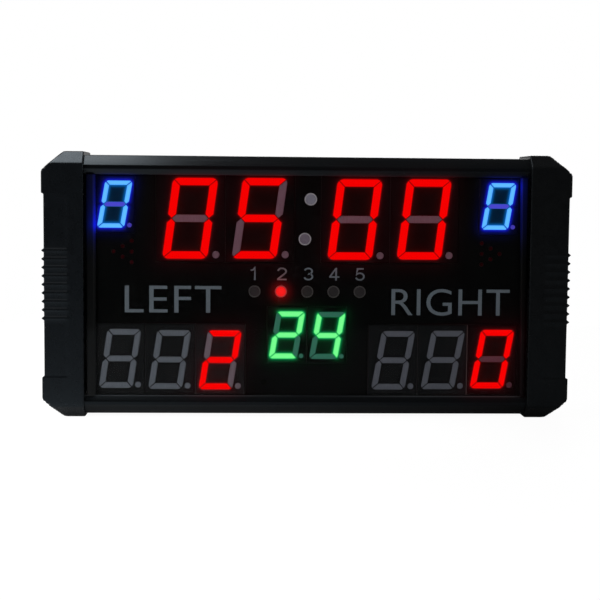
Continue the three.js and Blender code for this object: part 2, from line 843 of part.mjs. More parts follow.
function addRearPanel() {
  const sheet = rectangle(-sheetHalf, sheetHalf, sheetBottom, sheetTop);
  const w = inletBodyWidth / 2 + clearance;
  const h = inletBodyHeight / 2 + clearance;
  const keyholeZ = windowTop - keyholeDrop;
  const holes = [
    rectangle(inletX - w, inletX + w, inletZ - h, inletZ + h),
    keyholeOutline(keyholeX, keyholeZ),
    keyholeOutline(-keyholeX, keyholeZ),
    circle(buzzerX, buzzerZ, soundHoleRadius, lampSides / 2),
  ];
  for (const [x, z] of circle(buzzerX, buzzerZ, soundHoleRing, soundHoleCount)) {
    holes.push(circle(x, z, soundHoleRadius, lampSides / 2));
  }
  const panel = piercedPlate(sheet, holes, panelFront, panelRear);
  const standoffs = [];
  for (const sx of [1, -1]) {
    for (const sz of [1, -1]) {
      const x = controlX + sx * (controlWidth / 2 - standoffInset);
      const z = controlZ + sz * (controlHeight / 2 - standoffInset);
      const outline = circle(x, z, standoffRadius, screwSides);
      standoffs.push(prismY(outline, panelFront - standoffHeight, panelRear));
    }
  }
  addPiece("rear_panel", join([panel, ...standoffs]), "panel");
}

// The socket's mouth in X and Z: a box with its two lower corners cut.
function socketOutline(x, z) {
  const w = socketWidth / 2;
  const h = socketHeight / 2;
  return [
    [x - w + socketCorner, z - h],
    [x + w - socketCorner, z - h],
    [x + w, z - h + socketCorner],
    [x + w, z + h],
    [x - w, z + h],
    [x - w, z - h + socketCorner],
  ];
}

function addPowerInlet() {
  const outside = inletFace + cutOverrun;
  const root = inletSeat - inletBodyDepth;
  const flange = blockAt(inletX, inletFlangeWidth, inletSeat, inletFace, inletZ, inletFlangeHeight);
  const body = blockAt(inletX, inletBodyWidth, root, inletSeat + cutOverrun, inletZ, inletBodyHeight);

  const socketZ = inletZ - socketDrop;
  const socketFloor = inletFace - socketDepth;
  const socket = prismY(socketOutline(inletX, socketZ), socketFloor, outside);
  const pins = [-1, 0, 1].map((column) => {
    const x = inletX + column * pinSpacing;
    const z = socketZ + (column === 0 ? pinStagger : -pinStagger / 2);
    return blockAt(x, pinWidth, socketFloor - cutOverrun, socketFloor + pinLength, z, pinHeight);
  });

  const bayWidth = drawerWidth + 2 * clearance;
  const bayHeight = drawerHeight + 2 * clearance;
  const bay = blockAt(inletX, bayWidth, drawerRoot - clearance, outside, drawerZ, bayHeight);

  const wellWidth = rockerLength + 2 * rockerBayMargin;
  const wellHeight = rockerHeight + 2 * clearance;
  const well = blockAt(inletX, wellWidth, inletFace - rockerBayDepth, outside, rockerZ, wellHeight);

  const hollowed = flange.add(body).subtract(join([socket, bay, well]));
  addPiece("power_inlet", hollowed.add(join(pins)), "socket");
}

// A tray that slides in the inlet, with a finger lip outside and a trough for the fuse.
function addFuseDrawer() {
  const tray = blockAt(inletX, drawerWidth, drawerRoot, inletFace, drawerZ, drawerHeight);
  const lipHeight = drawerHeight / 2;
  const lipZ = drawerZ + drawerHeight / 2 - drawerLip - lipHeight / 2;
  const lipFace = inletFace + drawerFaceProud;
  const lip = blockAt(inletX, drawerWidth, inletFace - cutOverrun, lipFace, lipZ, lipHeight);
  const troughFloor = drawerZ - drawerHeight / 2 + fuseFloor;
  const fuseY = drawerRoot + fuseSetBack;
  const fuseZ = troughFloor + clearance + fuseRadius;
  const trough = block(
    inletX - fuseLength / 2 - clearance,
    inletX + fuseLength / 2 + clearance,
    fuseY - fuseRadius - clearance,
    fuseY + fuseRadius + clearance,
    troughFloor,
    drawerZ + drawerHeight / 2 + cutOverrun,
  );
  addPiece("fuse_drawer", tray.add(lip).subtract(trough), "socket");
  const outline = circle(fuseY, fuseZ, fuseRadius, screwSides);
  addPiece("fuse", prismX(outline, inletX - fuseLength / 2, inletX + fuseLength / 2), "steel");
}

// The rocker, tilted to its on side about an upright axis through the inlet's middle.
function addPowerRocker() {
  const foot = (rockerLength / 2) * rockerFootShare;
  const section = [
    [-rockerLength / 2, rockerEnd],
    [-foot, -rockerFoot],
    [foot, -rockerFoot],
    [rockerLength / 2, rockerEnd],
    [0, rockerMiddle],
  ];
  const cosine = Math.cos(rockerTilt);
  const sine = Math.sin(rockerTilt);
  const pivotY = inletFace - rockerPivotDepth;
  const tilted = section.map(([u, v]) => [inletX + u * cosine - v * sine, pivotY + u * sine + v * cosine]);
  const low = rockerZ - rockerHeight / 2;
  addPiece("power_rocker", prismZ(tilted, low, low + rockerHeight), "rocker");
}

// The controller board on its standoffs, with its larger parts on the front.
function addControllerBoard() {
  const rear = panelFront - standoffHeight - clearance;
  const front = rear - boardThickness;
  const board = blockAt(controlX, controlWidth, front, rear, controlZ, controlHeight);
  const parts = controlPartShares.map(([across, up, width, height, depth]) => {
    const x = controlX + across * controlWidth;
    const z = controlZ + up * controlHeight;
    const top = front - depth * controlPartDepth;
    return blockAt(x, width * controlWidth, top, front + boardThickness / 2, z, height * controlHeight);
  });
  addPiece("controller_board", join([board, ...parts]), "board");
  addRibbonCable(front - clearance);
}

// The flat cable from the controller board up to the display board.
function addRibbonCable(start) {
  const end = boardRear + clearance;
  const run = start - end;
  const low = controlZ + (controlHeight - ribbonWidth) / 2;
  const high = low + ribbonRise;
  const path = new THREE.CatmullRomCurve3([
    new THREE.Vector3(controlX, start, low),
    new THREE.Vector3(controlX, start - run / 4, low),
    new THREE.Vector3(controlX, (start + end) / 2, (low + high) / 2),
    new THREE.Vector3(controlX, end + run / 4, high),
    new THREE.Vector3(controlX, end, high),
  ]);
  const [u, v] = [ribbonThickness / 2, ribbonWidth / 2];
  const section = shapeOf(rectangle(-u, u, -v, v));
  const ribbon = new THREE.ExtrudeGeometry(section, { steps: ribbonSteps, extrudePath: path });
  addPiece("ribbon_cable", solid(ribbon), "ribbon");
}

function addPowerSupply() {
  const rear = panelFront - clearance;
  const front = rear - supplyDepth;
  const low = supplyZ - supplyHeight / 2;
  const high = supplyZ + supplyHeight / 2;
  const outline = [
    [front + supplyEdge, low],
    [rear, low],
    [rear, high],
    [front + supplyEdge, high],
    [front, high - supplyEdge],
    [front, low + supplyEdge],
  ];
  addPiece("power_supply", prismX(outline, supplyX - supplyWidth / 2, supplyX + supplyWidth / 2), "zinc");
}

function addBuzzer() {
  const rear = panelFront - clearance;
  const outline = circle(buzzerX, buzzerZ, buzzerRadius, lampSides);
  addPiece("buzzer", prismY(outline, rear - buzzerHeight, rear), "socket");
}

addRails();
addEndCaps();
addCapScrews();
addLensAndTrims();
addMask();
for (const [name, digit, x, z] of digitPlaces()) {
  addDigit(name, digit, x, z);
}
addLamps();
addDisplayBoard();
addRearPanel();
addPowerInlet();
addFuseDrawer();
addPowerRocker();
addControllerBoard();
addPowerSupply();
addBuzzer();

export default scoreboard;
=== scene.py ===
import functools
import math

import bmesh
import bpy
import numpy as np
from mathutils import Matrix, Vector
from mathutils.geometry import delaunay_2d_cdt


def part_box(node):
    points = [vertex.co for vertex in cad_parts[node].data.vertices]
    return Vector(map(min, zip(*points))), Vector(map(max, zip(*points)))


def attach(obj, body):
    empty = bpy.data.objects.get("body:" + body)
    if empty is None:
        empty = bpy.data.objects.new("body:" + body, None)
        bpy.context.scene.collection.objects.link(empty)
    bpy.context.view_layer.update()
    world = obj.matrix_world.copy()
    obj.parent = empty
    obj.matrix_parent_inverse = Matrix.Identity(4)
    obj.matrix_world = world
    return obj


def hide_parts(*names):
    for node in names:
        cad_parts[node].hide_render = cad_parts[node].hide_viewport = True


# An electronic scoreboard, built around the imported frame. Sizes here are in millimetres, in the frame's axes:
# X across, Y from front to back, Z up. A piece's points are turned to metres as its mesh is made.
MM = 0.001
LIGHT = "lamp_light"

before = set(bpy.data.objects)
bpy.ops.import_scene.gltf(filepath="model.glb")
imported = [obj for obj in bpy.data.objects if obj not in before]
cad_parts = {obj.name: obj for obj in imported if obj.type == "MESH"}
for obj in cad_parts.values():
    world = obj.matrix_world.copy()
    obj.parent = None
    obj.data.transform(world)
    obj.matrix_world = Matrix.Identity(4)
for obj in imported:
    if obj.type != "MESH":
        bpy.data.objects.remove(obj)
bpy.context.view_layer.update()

# Camera: place, turn to the right, tilt, roll and focal length in pixels of a 600 pixel wide picture
CAMERA_PLACE = (-76.0, -1740.8, 292.45)
CAMERA_TURN = 2.241
CAMERA_TILT = -4.743
CAMERA_ROLL = 0.5
CAMERA_FOCUS = 1352.8
PICTURE_WIDTH = 600
SENSOR_WIDTH = 36.0

# Body
HEIGHT = 335.85
MIDDLE = HEIGHT / 2
HALF_WIDTH = 333.03
CAP_INNER = 281.03
RAIL_HALF = 301.0
CAP_PROUD = 4.5
RAIL_TOP = HEIGHT - CAP_PROUD
WINDOW_HALF = 266.53
WINDOW_LOW = 28.75
WINDOW_HIGH = 307.1
STRIP_ENDS = (WINDOW_LOW + 0.3, WINDOW_HIGH - 0.3)
FACE_FRONT = -30.4
FACE_REAR = -28.4

# Digits, by the words in their nodes' names: height, width, upright bar, level bar, corner, dot radius
# and the dot's distance from the middle
DIGIT_KINDS = {
    "timer": (101.6, 56.7, 9.7, 9.2, 7.8, 4.6, 32.5),
    "score": (75.4, 43.1, 7.5, 7.5, 6.0, 3.8, 22.7),
    "shot": (60.3, 36.2, 6.8, 6.6, 5.3, 2.9, 18.3),
    "foul": (59.4, 34.4, 5.9, 5.6, 4.9, 2.9, 18.3),
}
# Each digit: how it sits in its module, moved to the right and up in millimetres, the slant of its bars
# in degrees, and the number that it shows, with its colour
DIGITS = {
    "timer_digit_1": (-0.5, 0.0, 7.8, "0", "red"),
    "timer_digit_2": (-0.5, 0.6, 8.0, "5", "red"),
    "timer_digit_3": (-0.7, 0.0, 7.1, "0", "red"),
    "timer_digit_4": (-0.3, 0.8, 6.9, "0", "red"),
    "left_score_digit_3": (-0.2, -1.1, 8.9, "2", "red"),
    "right_score_digit_3": (0.9, 1.2, 10.1, "0", "red"),
    "shot_digit_1": (0.1, 0.0, 9.6, "2", "green"),
    "shot_digit_2": (0.7, -0.4, 9.8, "4", "green"),
    "left_foul_digit": (0.0, -0.1, 10.4, "0", "blue"),
    "right_foul_digit": (-0.3, 0.9, 9.3, "0", "blue"),
    "left_score_digit_1": (0.1, 0.3, 8.6, None, None),
    "left_score_digit_2": (-0.7, -0.9, 8.9, None, None),
    "right_score_digit_1": (0.9, -0.8, 9.9, None, None),
    "right_score_digit_2": (1.1, -0.2, 10.1, None, None),
}
SHOWN = {name: row[3:] for name, row in DIGITS.items() if row[3]}
BAR_LETTERS = "agdbcfe"
BARS_OF = {"0": "abcdef", "2": "abged", "4": "fgbc", "5": "afgcd"}
LIT_LAMP = "period_lamp_2"

# Light of the bars, by colour: in the middle of a lit bar and at its rim, then in an unlit middle bar,
# another unlit bar and the dot beside it
BAR_LIGHT = {
    "red": (
        (0.98, 0.0, 0.0), (0.92, 0.0, 0.0),
        (0.045, 0.0, 0.0), (0.036, 0.002, 0.004), (0.028, 0.0, 0.0),
    ),
    "green": (
        (0.205, 1.04, 0.305), (0.11, 0.92, 0.19),
        (0.02, 0.16, 0.08), (0.0, 0.103, 0.057), (0.0, 0.10, 0.057),
    ),
    "blue": (
        (0.133, 0.55, 1.19), (0.080, 0.39, 1.15),
        (0.06, 0.055, 0.62), (0.06, 0.05, 0.62), (0.05, 0.035, 0.42),
    ),
}
# What falls on the face outside a lit digit and inside it: amount, reach in millimetres and power of
# the distance
GLOW = {
    "red": (
        [((0.22, 0.0, 0.0), 0.4, 1), ((0.050, 0.0012, 0.0010), 1.6, 1), ((0.011, 0.0, 0.0006), 9.0, 1)],
        [((0.22, 0.0, 0.0), 0.4, 1), ((0.027, 0.0, 0.0), 3.8, 1), ((0.0058, 0.0, 0.0), 90.0, 1)],
    ),
    "green": (
        [((0.0, 0.40, 0.095), 1.05, 1), ((0.0004, 0.030, 0.009), 4.2, 1)],
        [
            ((0.0, 0.40, 0.095), 1.05, 1), ((0.0004, 0.020, 0.006), 3.6, 1),
            ((0.0001, 0.0085, 0.0022), 90.0, 1),
        ],
    ),
    "blue": (
        [((0.003, 0.004, 0.40), 2.2, 2), ((0.002, 0.006, 0.16), 3.4, 1)],
        [((0.0, 0.09, 0.36), 2.0, 2), ((0.0, 0.020, 0.060), 3.2, 1), ((0.0, 0.0085, 0.026), 90.0, 1)],
    ),
    "lamp": (
        [((0.10, 0.0, 0.0), 0.6, 1), ((0.052, 0.0006, 0.0006), 6.4, 2), ((0.007, 0.0, 0.0003), 12.0, 1)],
        [],
    ),
}

# Kinds of surface: roughness, gloss and metal, then the size and share of the mottle and of the wear, and
# the size, depth and strength of each grain, with a stretch where it isn't even
EVEN = (1, 1, 1)
KINDS = {
    "rail": (
        0.25, 0.14, 0, (9, 0.12, (14, 1, 1)), (5, 0.10, (30, 1, 1)),
        (0.35, 0.012, 0.35, (60, 1, 1)), (0.25, 0.004, 0.4),
    ),
    "cap": (0.28, 0, 0, (14, 0.12), (8, 0.08), (0.7, 0.02, 0.12), (0.3, 0.008, 0.3)),
    "trim": (0.34, 0, 0, (12, 0.15, (1, 1, 5)), (6, 0.15, (1, 1, 6)), (0.3, 0.01, 0.4, (1, 1, 8))),
    "sheet": (0.7, 0.03, 0, (20, 0.2), (10, 0.1), (0.5, 0.006, 0.3)),
    "face": (0.6, 0.05, 0, (6, 0.12), (4, 0.12), (0.4, 0.008, 0.4)),
    "resin": (0.45, 0.1, 0, (2.2, 0.10, (1, 1, 6)), (3, 0.2), (0.5, 0.01, 0.3)),
    "glow": (0.5, 0, 0, None, (3, 0.15), (0.6, 0.008, 0.25)),
    "print": (0.6, 0.2, 0, (3, 0.07), (2, 0.1), (0.15, 0.004, 0.3)),
    "lamp": (0.35, 0.15, 0, (3, 0.12), (2, 0.2), (0.7, 0.01, 0.3)),
    "ring": (0.4, 0.2, 0, (2, 0.12), (1.5, 0.2), (0.3, 0.008, 0.3)),
    "arrow": (0.4, 0.02, 0, (1.4, 0.45), (1, 0.2), (0.5, 0.01, 0.3)),
    "eye": (0.5, 0, 0, (2, 0.2), (1, 0.2), (0.4, 0.002, 0.2)),
    "powder": (0.5, 0.35, 0, (25, 0.1), (4, 0.12), (1.3, 0.05, 0.3), (0.35, 0.015, 0.3)),
    "fitting": (0.38, 0.45, 0, (6, 0.1), (3, 0.2), (0.25, 0.006, 0.3)),
    "rocker": (0.3, 0.5, 0, (4, 0.06), (2, 0.2), (0.4, 0.003, 0.3)),
    "mark": (0.5, 0.4, 0, (1, 0.04), (1, 0.1), (0.2, 0.003, 0.3)),
    "steel": (0.32, 0.5, 1, (1.5, 0.12), (0.8, 0.25), (0.3, 0.004, 0.4, (1, 6, 1))),
    "brass": (0.3, 0.5, 1, (1.5, 0.1), (0.8, 0.2), (0.3, 0.003, 0.4, (1, 6, 1))),
    "zinc": (0.38, 0.5, 1, (5, 0.16), (4, 0.25), (2, 0.004, 0.3)),
}
LIT_KINDS = "rail cap trim sheet face resin glow print lamp ring".split()
# The room's gloss on the rails and caps is cool
COOL = (0.68, 0.86, 1.0, 1)
# Each material: its kind, its colour and its own gloss, if it has one
FINISHES = {
    "anodised_rail": ("rail", (0.0018, 0.0020, 0.0022)),
    # The left cap is a lighter, glossier copy of the right one: painted light, which falls stronger on the left
    "left_moulded_cap": ("cap", (0.0026, 0.0030, 0.0036), 0.16),
    "right_moulded_cap": ("cap", (0.0026, 0.0027, 0.0028), 0.11),
    # The left trim is a lighter copy of the right one: painted light, which falls stronger on the left
    "left_lens_trim": ("trim", (0.0016, 0.0019, 0.0020), 0.08),
    "right_lens_trim": ("trim", (0.0011, 0.0012, 0.0011), 0.05),
    "mask_sheet": ("sheet", (0.0010, 0.0011, 0.0011)),
    "digit_face": ("face", (0.0036, 0.0039, 0.0043)),
    "dark_digit_face": ("face", (0.0007, 0.0006, 0.0007)),
    "grey_resin": ("resin", (0.068, 0.071, 0.085)),
    # The pale resin is a lighter copy of the grey: painted light on the left score digits
    "pale_resin": ("resin", (0.075, 0.083, 0.097)),
    "mauve_resin": ("resin", (0.074, 0.053, 0.070)),
    "shade_resin": ("resin", (0.034, 0.026, 0.030)),
    "dim_resin": ("resin", (0.046, 0.030, 0.044)),
    "dark_resin": ("resin", (0.0105, 0.0098, 0.0125)),
    "lit_resin": ("glow", (0.0002, 0.0002, 0.0002)),
    "printed_letters": ("print", (0.078, 0.093, 0.108)),
    # The number over the lit lamp has a warmer copy of the print's colour: painted red light from the lamp
    "red_lit_number": ("print", (0.077, 0.070, 0.076)),
    "lamp_resin": ("lamp", (0.0155, 0.0138, 0.0148)),
    "upper_colon_resin": ("lamp", (0.135, 0.126, 0.155)),
    "lower_colon_resin": ("lamp", (0.098, 0.078, 0.100)),
    "lamp_ring": ("ring", (0.046, 0.042, 0.040)),
    "colon_ring": ("ring", (0.260, 0.235, 0.250)),
    "arrow_lamp_resin": ("arrow", (0.019, 0.0004, 0.0014)),
    "receiver_window": ("eye", (0.0001, 0.0002, 0.0001)),
    "rear_sheet": ("powder", (0.012, 0.0125, 0.0135)),
    "black_fitting": ("fitting", (0.0085, 0.0085, 0.009)),
    "rocker": ("rocker", (0.42, 0.012, 0.008)),
    "mark_white": ("mark", (0.72, 0.72, 0.70)),
    "steel": ("steel", (0.42, 0.425, 0.43)),
    "tinned_brass": ("brass", (0.52, 0.46, 0.33)),
    "zinc_case": ("zinc", (0.48, 0.49, 0.5)),
}


# Shapes

def norms(vectors):
    """The length of each vector in the last axis."""
    return np.sqrt((vectors * vectors).sum(-1))


def rounded(corners, radius, steps=4, closed=True):
    """Each corner becomes the parabola (1-t)^2 a + 2t(1-t) corner + t^2 b, with a and b a radius away on
    its edges."""
    corners = np.asarray(corners, float)
    back = np.roll(corners, 1, 0) - corners
    ahead = np.roll(corners, -1, 0) - corners
    near = np.minimum(norms(back), norms(ahead))
    reach = np.minimum(np.broadcast_to(np.asarray(radius, float), len(corners)), 0.45 * near)
    if not closed:
        reach = reach.copy()
        reach[[0, -1]] = 0
    a = corners + back / norms(back)[:, None] * reach[:, None]
    b = corners + ahead / norms(ahead)[:, None] * reach[:, None]
    t = np.linspace(0, 1, steps + 1)[None, :, None]
    curve = (1 - t) ** 2 * a[:, None] + 2 * t * (1 - t) * corners[:, None] + t * t * b[:, None]
    curve = curve.reshape(-1, 2)
    apart = norms(curve - np.roll(curve, 1, 0)) > 1e-6
    if not closed:
        apart[0] = True
    return curve[apart]


def ring_of(x, z, radius, sides):
    """Points evenly round a circle about x, z."""
    angle = (np.arange(sides) + 0.5) / sides * 2 * np.pi
    return np.column_stack([x + radius * np.cos(angle), z + radius * np.sin(angle)])


def box_of(x0, x1, z0, z1):
    """The four corners of an upright rectangle."""
    return np.array([(x0, z0), (x1, z0), (x1, z1), (x0, z1)], float)


def inset(outline, step):
    """A closed outline drawn in: each point moves along the mean of its two edges' inward normals."""
    ahead = np.roll(outline, -1, 0) - outline
    ahead = ahead / norms(ahead)[:, None]
    inward = np.column_stack([-ahead[:, 1], ahead[:, 0]]) * np.sign(turning(outline))
    mean = inward + np.roll(inward, 1, 0)
    return outline + mean / np.maximum((mean * mean).sum(1), 0.5)[:, None] * 2 * step


def turning(outline):
    """Twice the signed area of a closed outline: positive where it runs anticlockwise."""
    after = np.roll(outline, -1, 0)
    return (outline[:, 0] * after[:, 1] - outline[:, 1] * after[:, 0]).sum()


def reach_to(points, starts, ends):
    """Each point's distance to each line: the offset from the foot of its perpendicular, kept between the
    line's ends."""
    along = ends - starts
    share = ((points[:, None] - starts) * along).sum(-1) / np.maximum((along * along).sum(-1), 1e-12)
    foot = starts + np.clip(share, 0, 1)[..., None] * along
    return norms(points[:, None] - foot)


def edge_reach(points, loops):
    """Each point's distance to the nearest edge of some closed outlines."""
    starts = np.concatenate(loops)
    ends = np.concatenate([np.roll(loop, -1, 0) for loop in loops])
    best = np.full(len(points), np.inf)
    for first in range(0, len(starts), 64):
        found = reach_to(points, starts[first : first + 64], ends[first : first + 64]).min(1)
        best = np.minimum(best, found)
    return best


def within(points, loops):
    """True where a line to the right of a point crosses the outlines an odd number of times."""
    crossed = np.zeros(len(points), int)
    for loop in loops:
        a, b = loop, np.roll(loop, -1, 0)
        spans = (a[:, 1] > points[:, None, 1]) != (b[:, 1] > points[:, None, 1])
        rise = np.where(b[:, 1] == a[:, 1], 1.0, b[:, 1] - a[:, 1])
        meet = a[:, 0] + (points[:, None, 1] - a[:, 1]) * (b[:, 0] - a[:, 0]) / rise
        crossed += (spans & (points[:, None, 0] < meet)).sum(1)
    return crossed % 2 == 1


def cut_sheet(loops, rings=(), spacing=None):
    """Triangles over the inside of the first outline and outside the others, with a square grid of points
    between. Returns the points, the triangles and, for each outline, the numbers of its points."""
    lines = [*loops, *rings]
    points = np.concatenate(lines)
    if spacing:
        low, high = loops[0].min(0), loops[0].max(0)
        counts = np.maximum(3, ((high - low) / spacing).astype(int) + 2)
        steps = [np.linspace(low[i], high[i], counts[i])[1:-1] for i in (0, 1)]
        grid = np.stack(np.meshgrid(*steps), -1).reshape(-1, 2)
        grid = grid[(edge_reach(grid, lines) > 0.4 * spacing) & within(grid, loops)]
        points = np.concatenate([points, grid])
    starts = np.cumsum([0] + [len(line) for line in lines])
    edges = []
    for start, line in zip(starts, lines):
        numbers = start + np.arange(len(line))
        edges += np.column_stack([numbers, np.roll(numbers, -1)]).tolist()
    made = delaunay_2d_cdt([Vector(p) for p in points.tolist()], edges, [], 0, 1e-7)
    flat = np.array([tuple(v) for v in made[0]])
    triangles = np.array(made[2])
    place = np.zeros(len(points), int)
    for number, sources in enumerate(made[3]):
        place[sources] = number
    triangles = triangles[within(flat[triangles].mean(1), loops)]
    a, b, c = (flat[triangles[:, i]] for i in range(3))
    turned_over = (b - a)[:, 0] * (c - a)[:, 1] - (b - a)[:, 1] * (c - a)[:, 0] < 0
    triangles[turned_over] = triangles[turned_over, ::-1]
    return flat, triangles, [place[start : start + len(loop)] for start, loop in zip(starts, loops)]


def part(points, faces, material=0, light=None):
    """One closed part of a piece, with its faces turned outwards: the signed volume under its faces is
    positive."""
    volume = 0.0
    for group in faces:
        corners = points[group]
        for i in range(1, corners.shape[1] - 1):
            volume += (corners[:, 0] * np.cross(corners[:, i], corners[:, i + 1])).sum()
    if volume < 0:
        faces = [group[:, ::-1] for group in faces]
    return {"points": points, "faces": faces, "material": material, "light": light}


def slab(outline, holes, front, rear, spacing=None, rings=(), relief=None, material=0):
    """A plate between two Y planes with holes right through it. Its front is the triangulated inside of the
    outline, moved along Y by relief(points), its rear the same outline flat, and a wall joins the two along
    every outline."""
    outline = outline if turning(outline) > 0 else outline[::-1]
    loops = [outline] + [hole if turning(hole) < 0 else hole[::-1] for hole in holes]
    face, face_triangles, face_loops = cut_sheet(loops, rings, spacing)
    back, back_triangles, back_loops = cut_sheet(loops)
    moved = relief(face) if relief else np.zeros(len(face))
    points = np.concatenate([
        np.column_stack([face[:, 0], front + moved, face[:, 1]]),
        np.column_stack([back[:, 0], np.full(len(back), float(rear)), back[:, 1]]),
    ])
    faces = [face_triangles, back_triangles[:, ::-1] + len(face)]
    for a, b in zip(face_loops, back_loops):
        b = b + len(face)
        faces.append(np.column_stack([a, b, np.roll(b, -1), np.roll(a, -1)]))
    return part(points, faces, material)


def grid_faces(rows, columns, wrap=True):
    """Four-cornered faces between neighbouring rows of a grid, closed round each row."""
    row, column = np.meshgrid(np.arange(rows - 1), np.arange(columns if wrap else columns - 1), indexing="ij")
    after = (column + 1) % columns
    start, following = row * columns, (row + 1) * columns
    corners = [start + column, following + column, following + after, start + after]
    return np.stack(corners, -1).reshape(-1, 4)


def turned(profile, x, z, sides, material=0):
    """A profile of radius and Y, from the axis to the axis, turned about a line along Y through x, z."""
    inner = profile[1:-1]
    angle = np.arange(sides) / sides * 2 * np.pi
    across, up = x + inner[:, :1] * np.cos(angle), z + inner[:, :1] * np.sin(angle)
    rings = np.stack([across, np.repeat(inner[:, 1:], sides, 1), up], -1).reshape(-1, 3)
    points = np.concatenate([rings, [(x, profile[0, 1], z), (x, profile[-1, 1], z)]])
    numbers = np.arange(sides)
    after = np.roll(numbers, -1)
    last = (len(inner) - 1) * sides
    faces = [
        grid_faces(len(inner), sides),
        np.column_stack([np.full(sides, len(rings)), numbers, after]),
        np.column_stack([np.full(sides, len(rings) + 1), last + after, last + numbers]),
    ]
    return part(points, faces, material)


def carried(section, stations, place):
    """A closed section carried along a straight path: place(section, s) gives its points at each station s.
    The two ends are closed by the section itself."""
    points = np.concatenate([place(section, s) for s in stations])
    count = len(section)
    ends = np.array([np.arange(count)[::-1], (len(stations) - 1) * count + np.arange(count)])
    return part(points, [grid_faces(len(stations), count), ends[:1], ends[1:]])


def placed(name, data):
    """A new object in the scene."""
    made = bpy.data.objects.new(name, data)
    bpy.context.scene.collection.objects.link(made)
    return made


def dressed(mesh, materials, numbers, sharp):
    """Gives a mesh its materials, by each face's number, and smooth faces with edges sharp past an angle."""
    mesh.materials.clear()
    for material in materials:
        mesh.materials.append(material)
    mesh.polygons.foreach_set("material_index", np.array(numbers, np.int32))
    mesh.polygons.foreach_set("use_smooth", np.ones(len(mesh.polygons), bool))
    mesh.update()
    if sharp:
        mesh.set_sharp_from_angle(angle=math.radians(sharp))


def piece(name, parts, materials, body="case", replaces=(), sharp=32):
    """One object from closed parts, riding on a body."""
    faces, numbers = [], []
    start = 0
    for one in parts:
        for group in one["faces"]:
            faces += (group + start).tolist()
            numbers += [one["material"]] * len(group)
        start += len(one["points"])
    mesh = bpy.data.meshes.new(name)
    mesh.from_pydata((np.concatenate([one["points"] for one in parts]) * MM).tolist(), [], faces)
    colours = np.ones((start, 4), np.float32)
    lights = [np.zeros_like(one["points"]) if one["light"] is None else one["light"] for one in parts]
    colours[:, :3] = np.concatenate(lights)
    mesh.attributes.new(LIGHT, "FLOAT_COLOR", "POINT").data.foreach_set("color", colours.ravel())
    dressed(mesh, materials, numbers, sharp)
    made = placed(name, mesh)
    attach(made, body)
    if replaces:
        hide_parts(*replaces)
    return made


# Light of the display

def digit_kind(name):
    """The sizes of the digit whose module has this name."""
    return next(sizes for word, sizes in DIGIT_KINDS.items() if word in name)


def box_of_node(node):
    """The two corners of a node's box, in millimetres."""
    return [np.array(corner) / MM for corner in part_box(node)]


def node_outline(node, radius, steps=4):
    """The rounded outline of a node's front."""
    low, high = box_of_node(node)
    return rounded(box_of(low[0], high[0], low[2], high[2]), radius, steps)


def node_middle(node):
    """The middle of a node's box, in millimetres."""
    low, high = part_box(node)
    return np.array((low + high) / 2) / MM


DIGIT_PLACE = {name: node_middle(name + "_housing")[[0, 2]] + DIGITS[name][:2] for name in sorted(DIGITS)}


def lit_bars(name, sign):
    """The outlines of a digit's lit bars."""
    bars = zip(BAR_LETTERS, bar_outlines(name, 0))
    return [bar for letter, bar in bars if letter in BARS_OF[sign]]


def slant_of(name):
    """How far a digit's points move to the right for every millimetre up."""
    return math.tan(math.radians(DIGITS[name][2]))


def light_at(points, stretch=1.0):
    """The light that the lit bars throw on points: for each digit the sum of
    amount * exp(-(d / reach)^power), where d is the distance past the nearest bar's edge. Inside the digit
    its own amounts hold. The lit lamp counts as a bar, and stretch makes all reaches longer."""
    flat = points[:, [0, 2]]
    total = np.zeros((len(flat), 3))
    sources = [(name, colour, lit_bars(name, sign)) for name, (sign, colour) in SHOWN.items()]
    lamp_x, _, lamp_z = node_middle(LIT_LAMP)
    sources.append((None, "lamp", [ring_of(lamp_x, lamp_z, 7.2, 24)]))
    for name, colour, outlines in sources:
        past = np.where(within(flat, outlines), 0.0, edge_reach(flat, outlines))
        outside, inside = (
            sum(
                np.exp(-((past / reach / stretch) ** power))[:, None] * amount
                for amount, reach, power in rows
            )
            for rows in GLOW[colour]
        )
        held = np.zeros(len(flat), bool)
        if name:
            height, width, bar = digit_kind(name)[:3]
            x, z = (flat - DIGIT_PLACE[name]).T
            held = (np.abs(x - z * slant_of(name)) < width / 2 - bar / 2) & (np.abs(z) < height / 2 - bar / 2)
        total += np.where(held[:, None], inside, outside)
    return total


# Materials

class Shading:
    """The nodes of a material or a world. An input is given a constant, or the output that it follows."""

    def __init__(self, owner):
        owner.use_nodes = True
        self.tree = owner.node_tree
        self.tree.nodes.clear()

    def put(self, node, socket, value):
        if isinstance(value, bpy.types.NodeSocket):
            self.tree.links.new(value, node.inputs[socket])
        else:
            node.inputs[socket].default_value = value

    def node(self, kind, inputs=None, **settings):
        made = self.tree.nodes.new("ShaderNode" + kind)
        for key, value in settings.items():
            setattr(made, key, value)
        for socket, value in (inputs or {}).items():
            self.put(made, socket, value)
        return made

    def reckon(self, operation, first, second):
        return self.node("Math", {0: first, 1: second}, operation=operation).outputs[0]

    def ranged(self, value, low, high, start=0.3, end=0.7, kind="LINEAR"):
        """What runs from start to end, as noise mostly does from 0.3 to 0.7, then runs from low to high."""
        limits = {"Value": value, "From Min": start, "From Max": end, "To Min": low, "To Max": high}
        return self.node("MapRange", limits, interpolation_type=kind).outputs[0]

    def mixed(self, share, first, second):
        first, second = ((*c, 1) if isinstance(c, tuple) else c for c in (first, second))
        return self.node("Mix", {0: share, 6: first, 7: second}, data_type="RGBA").outputs[2]


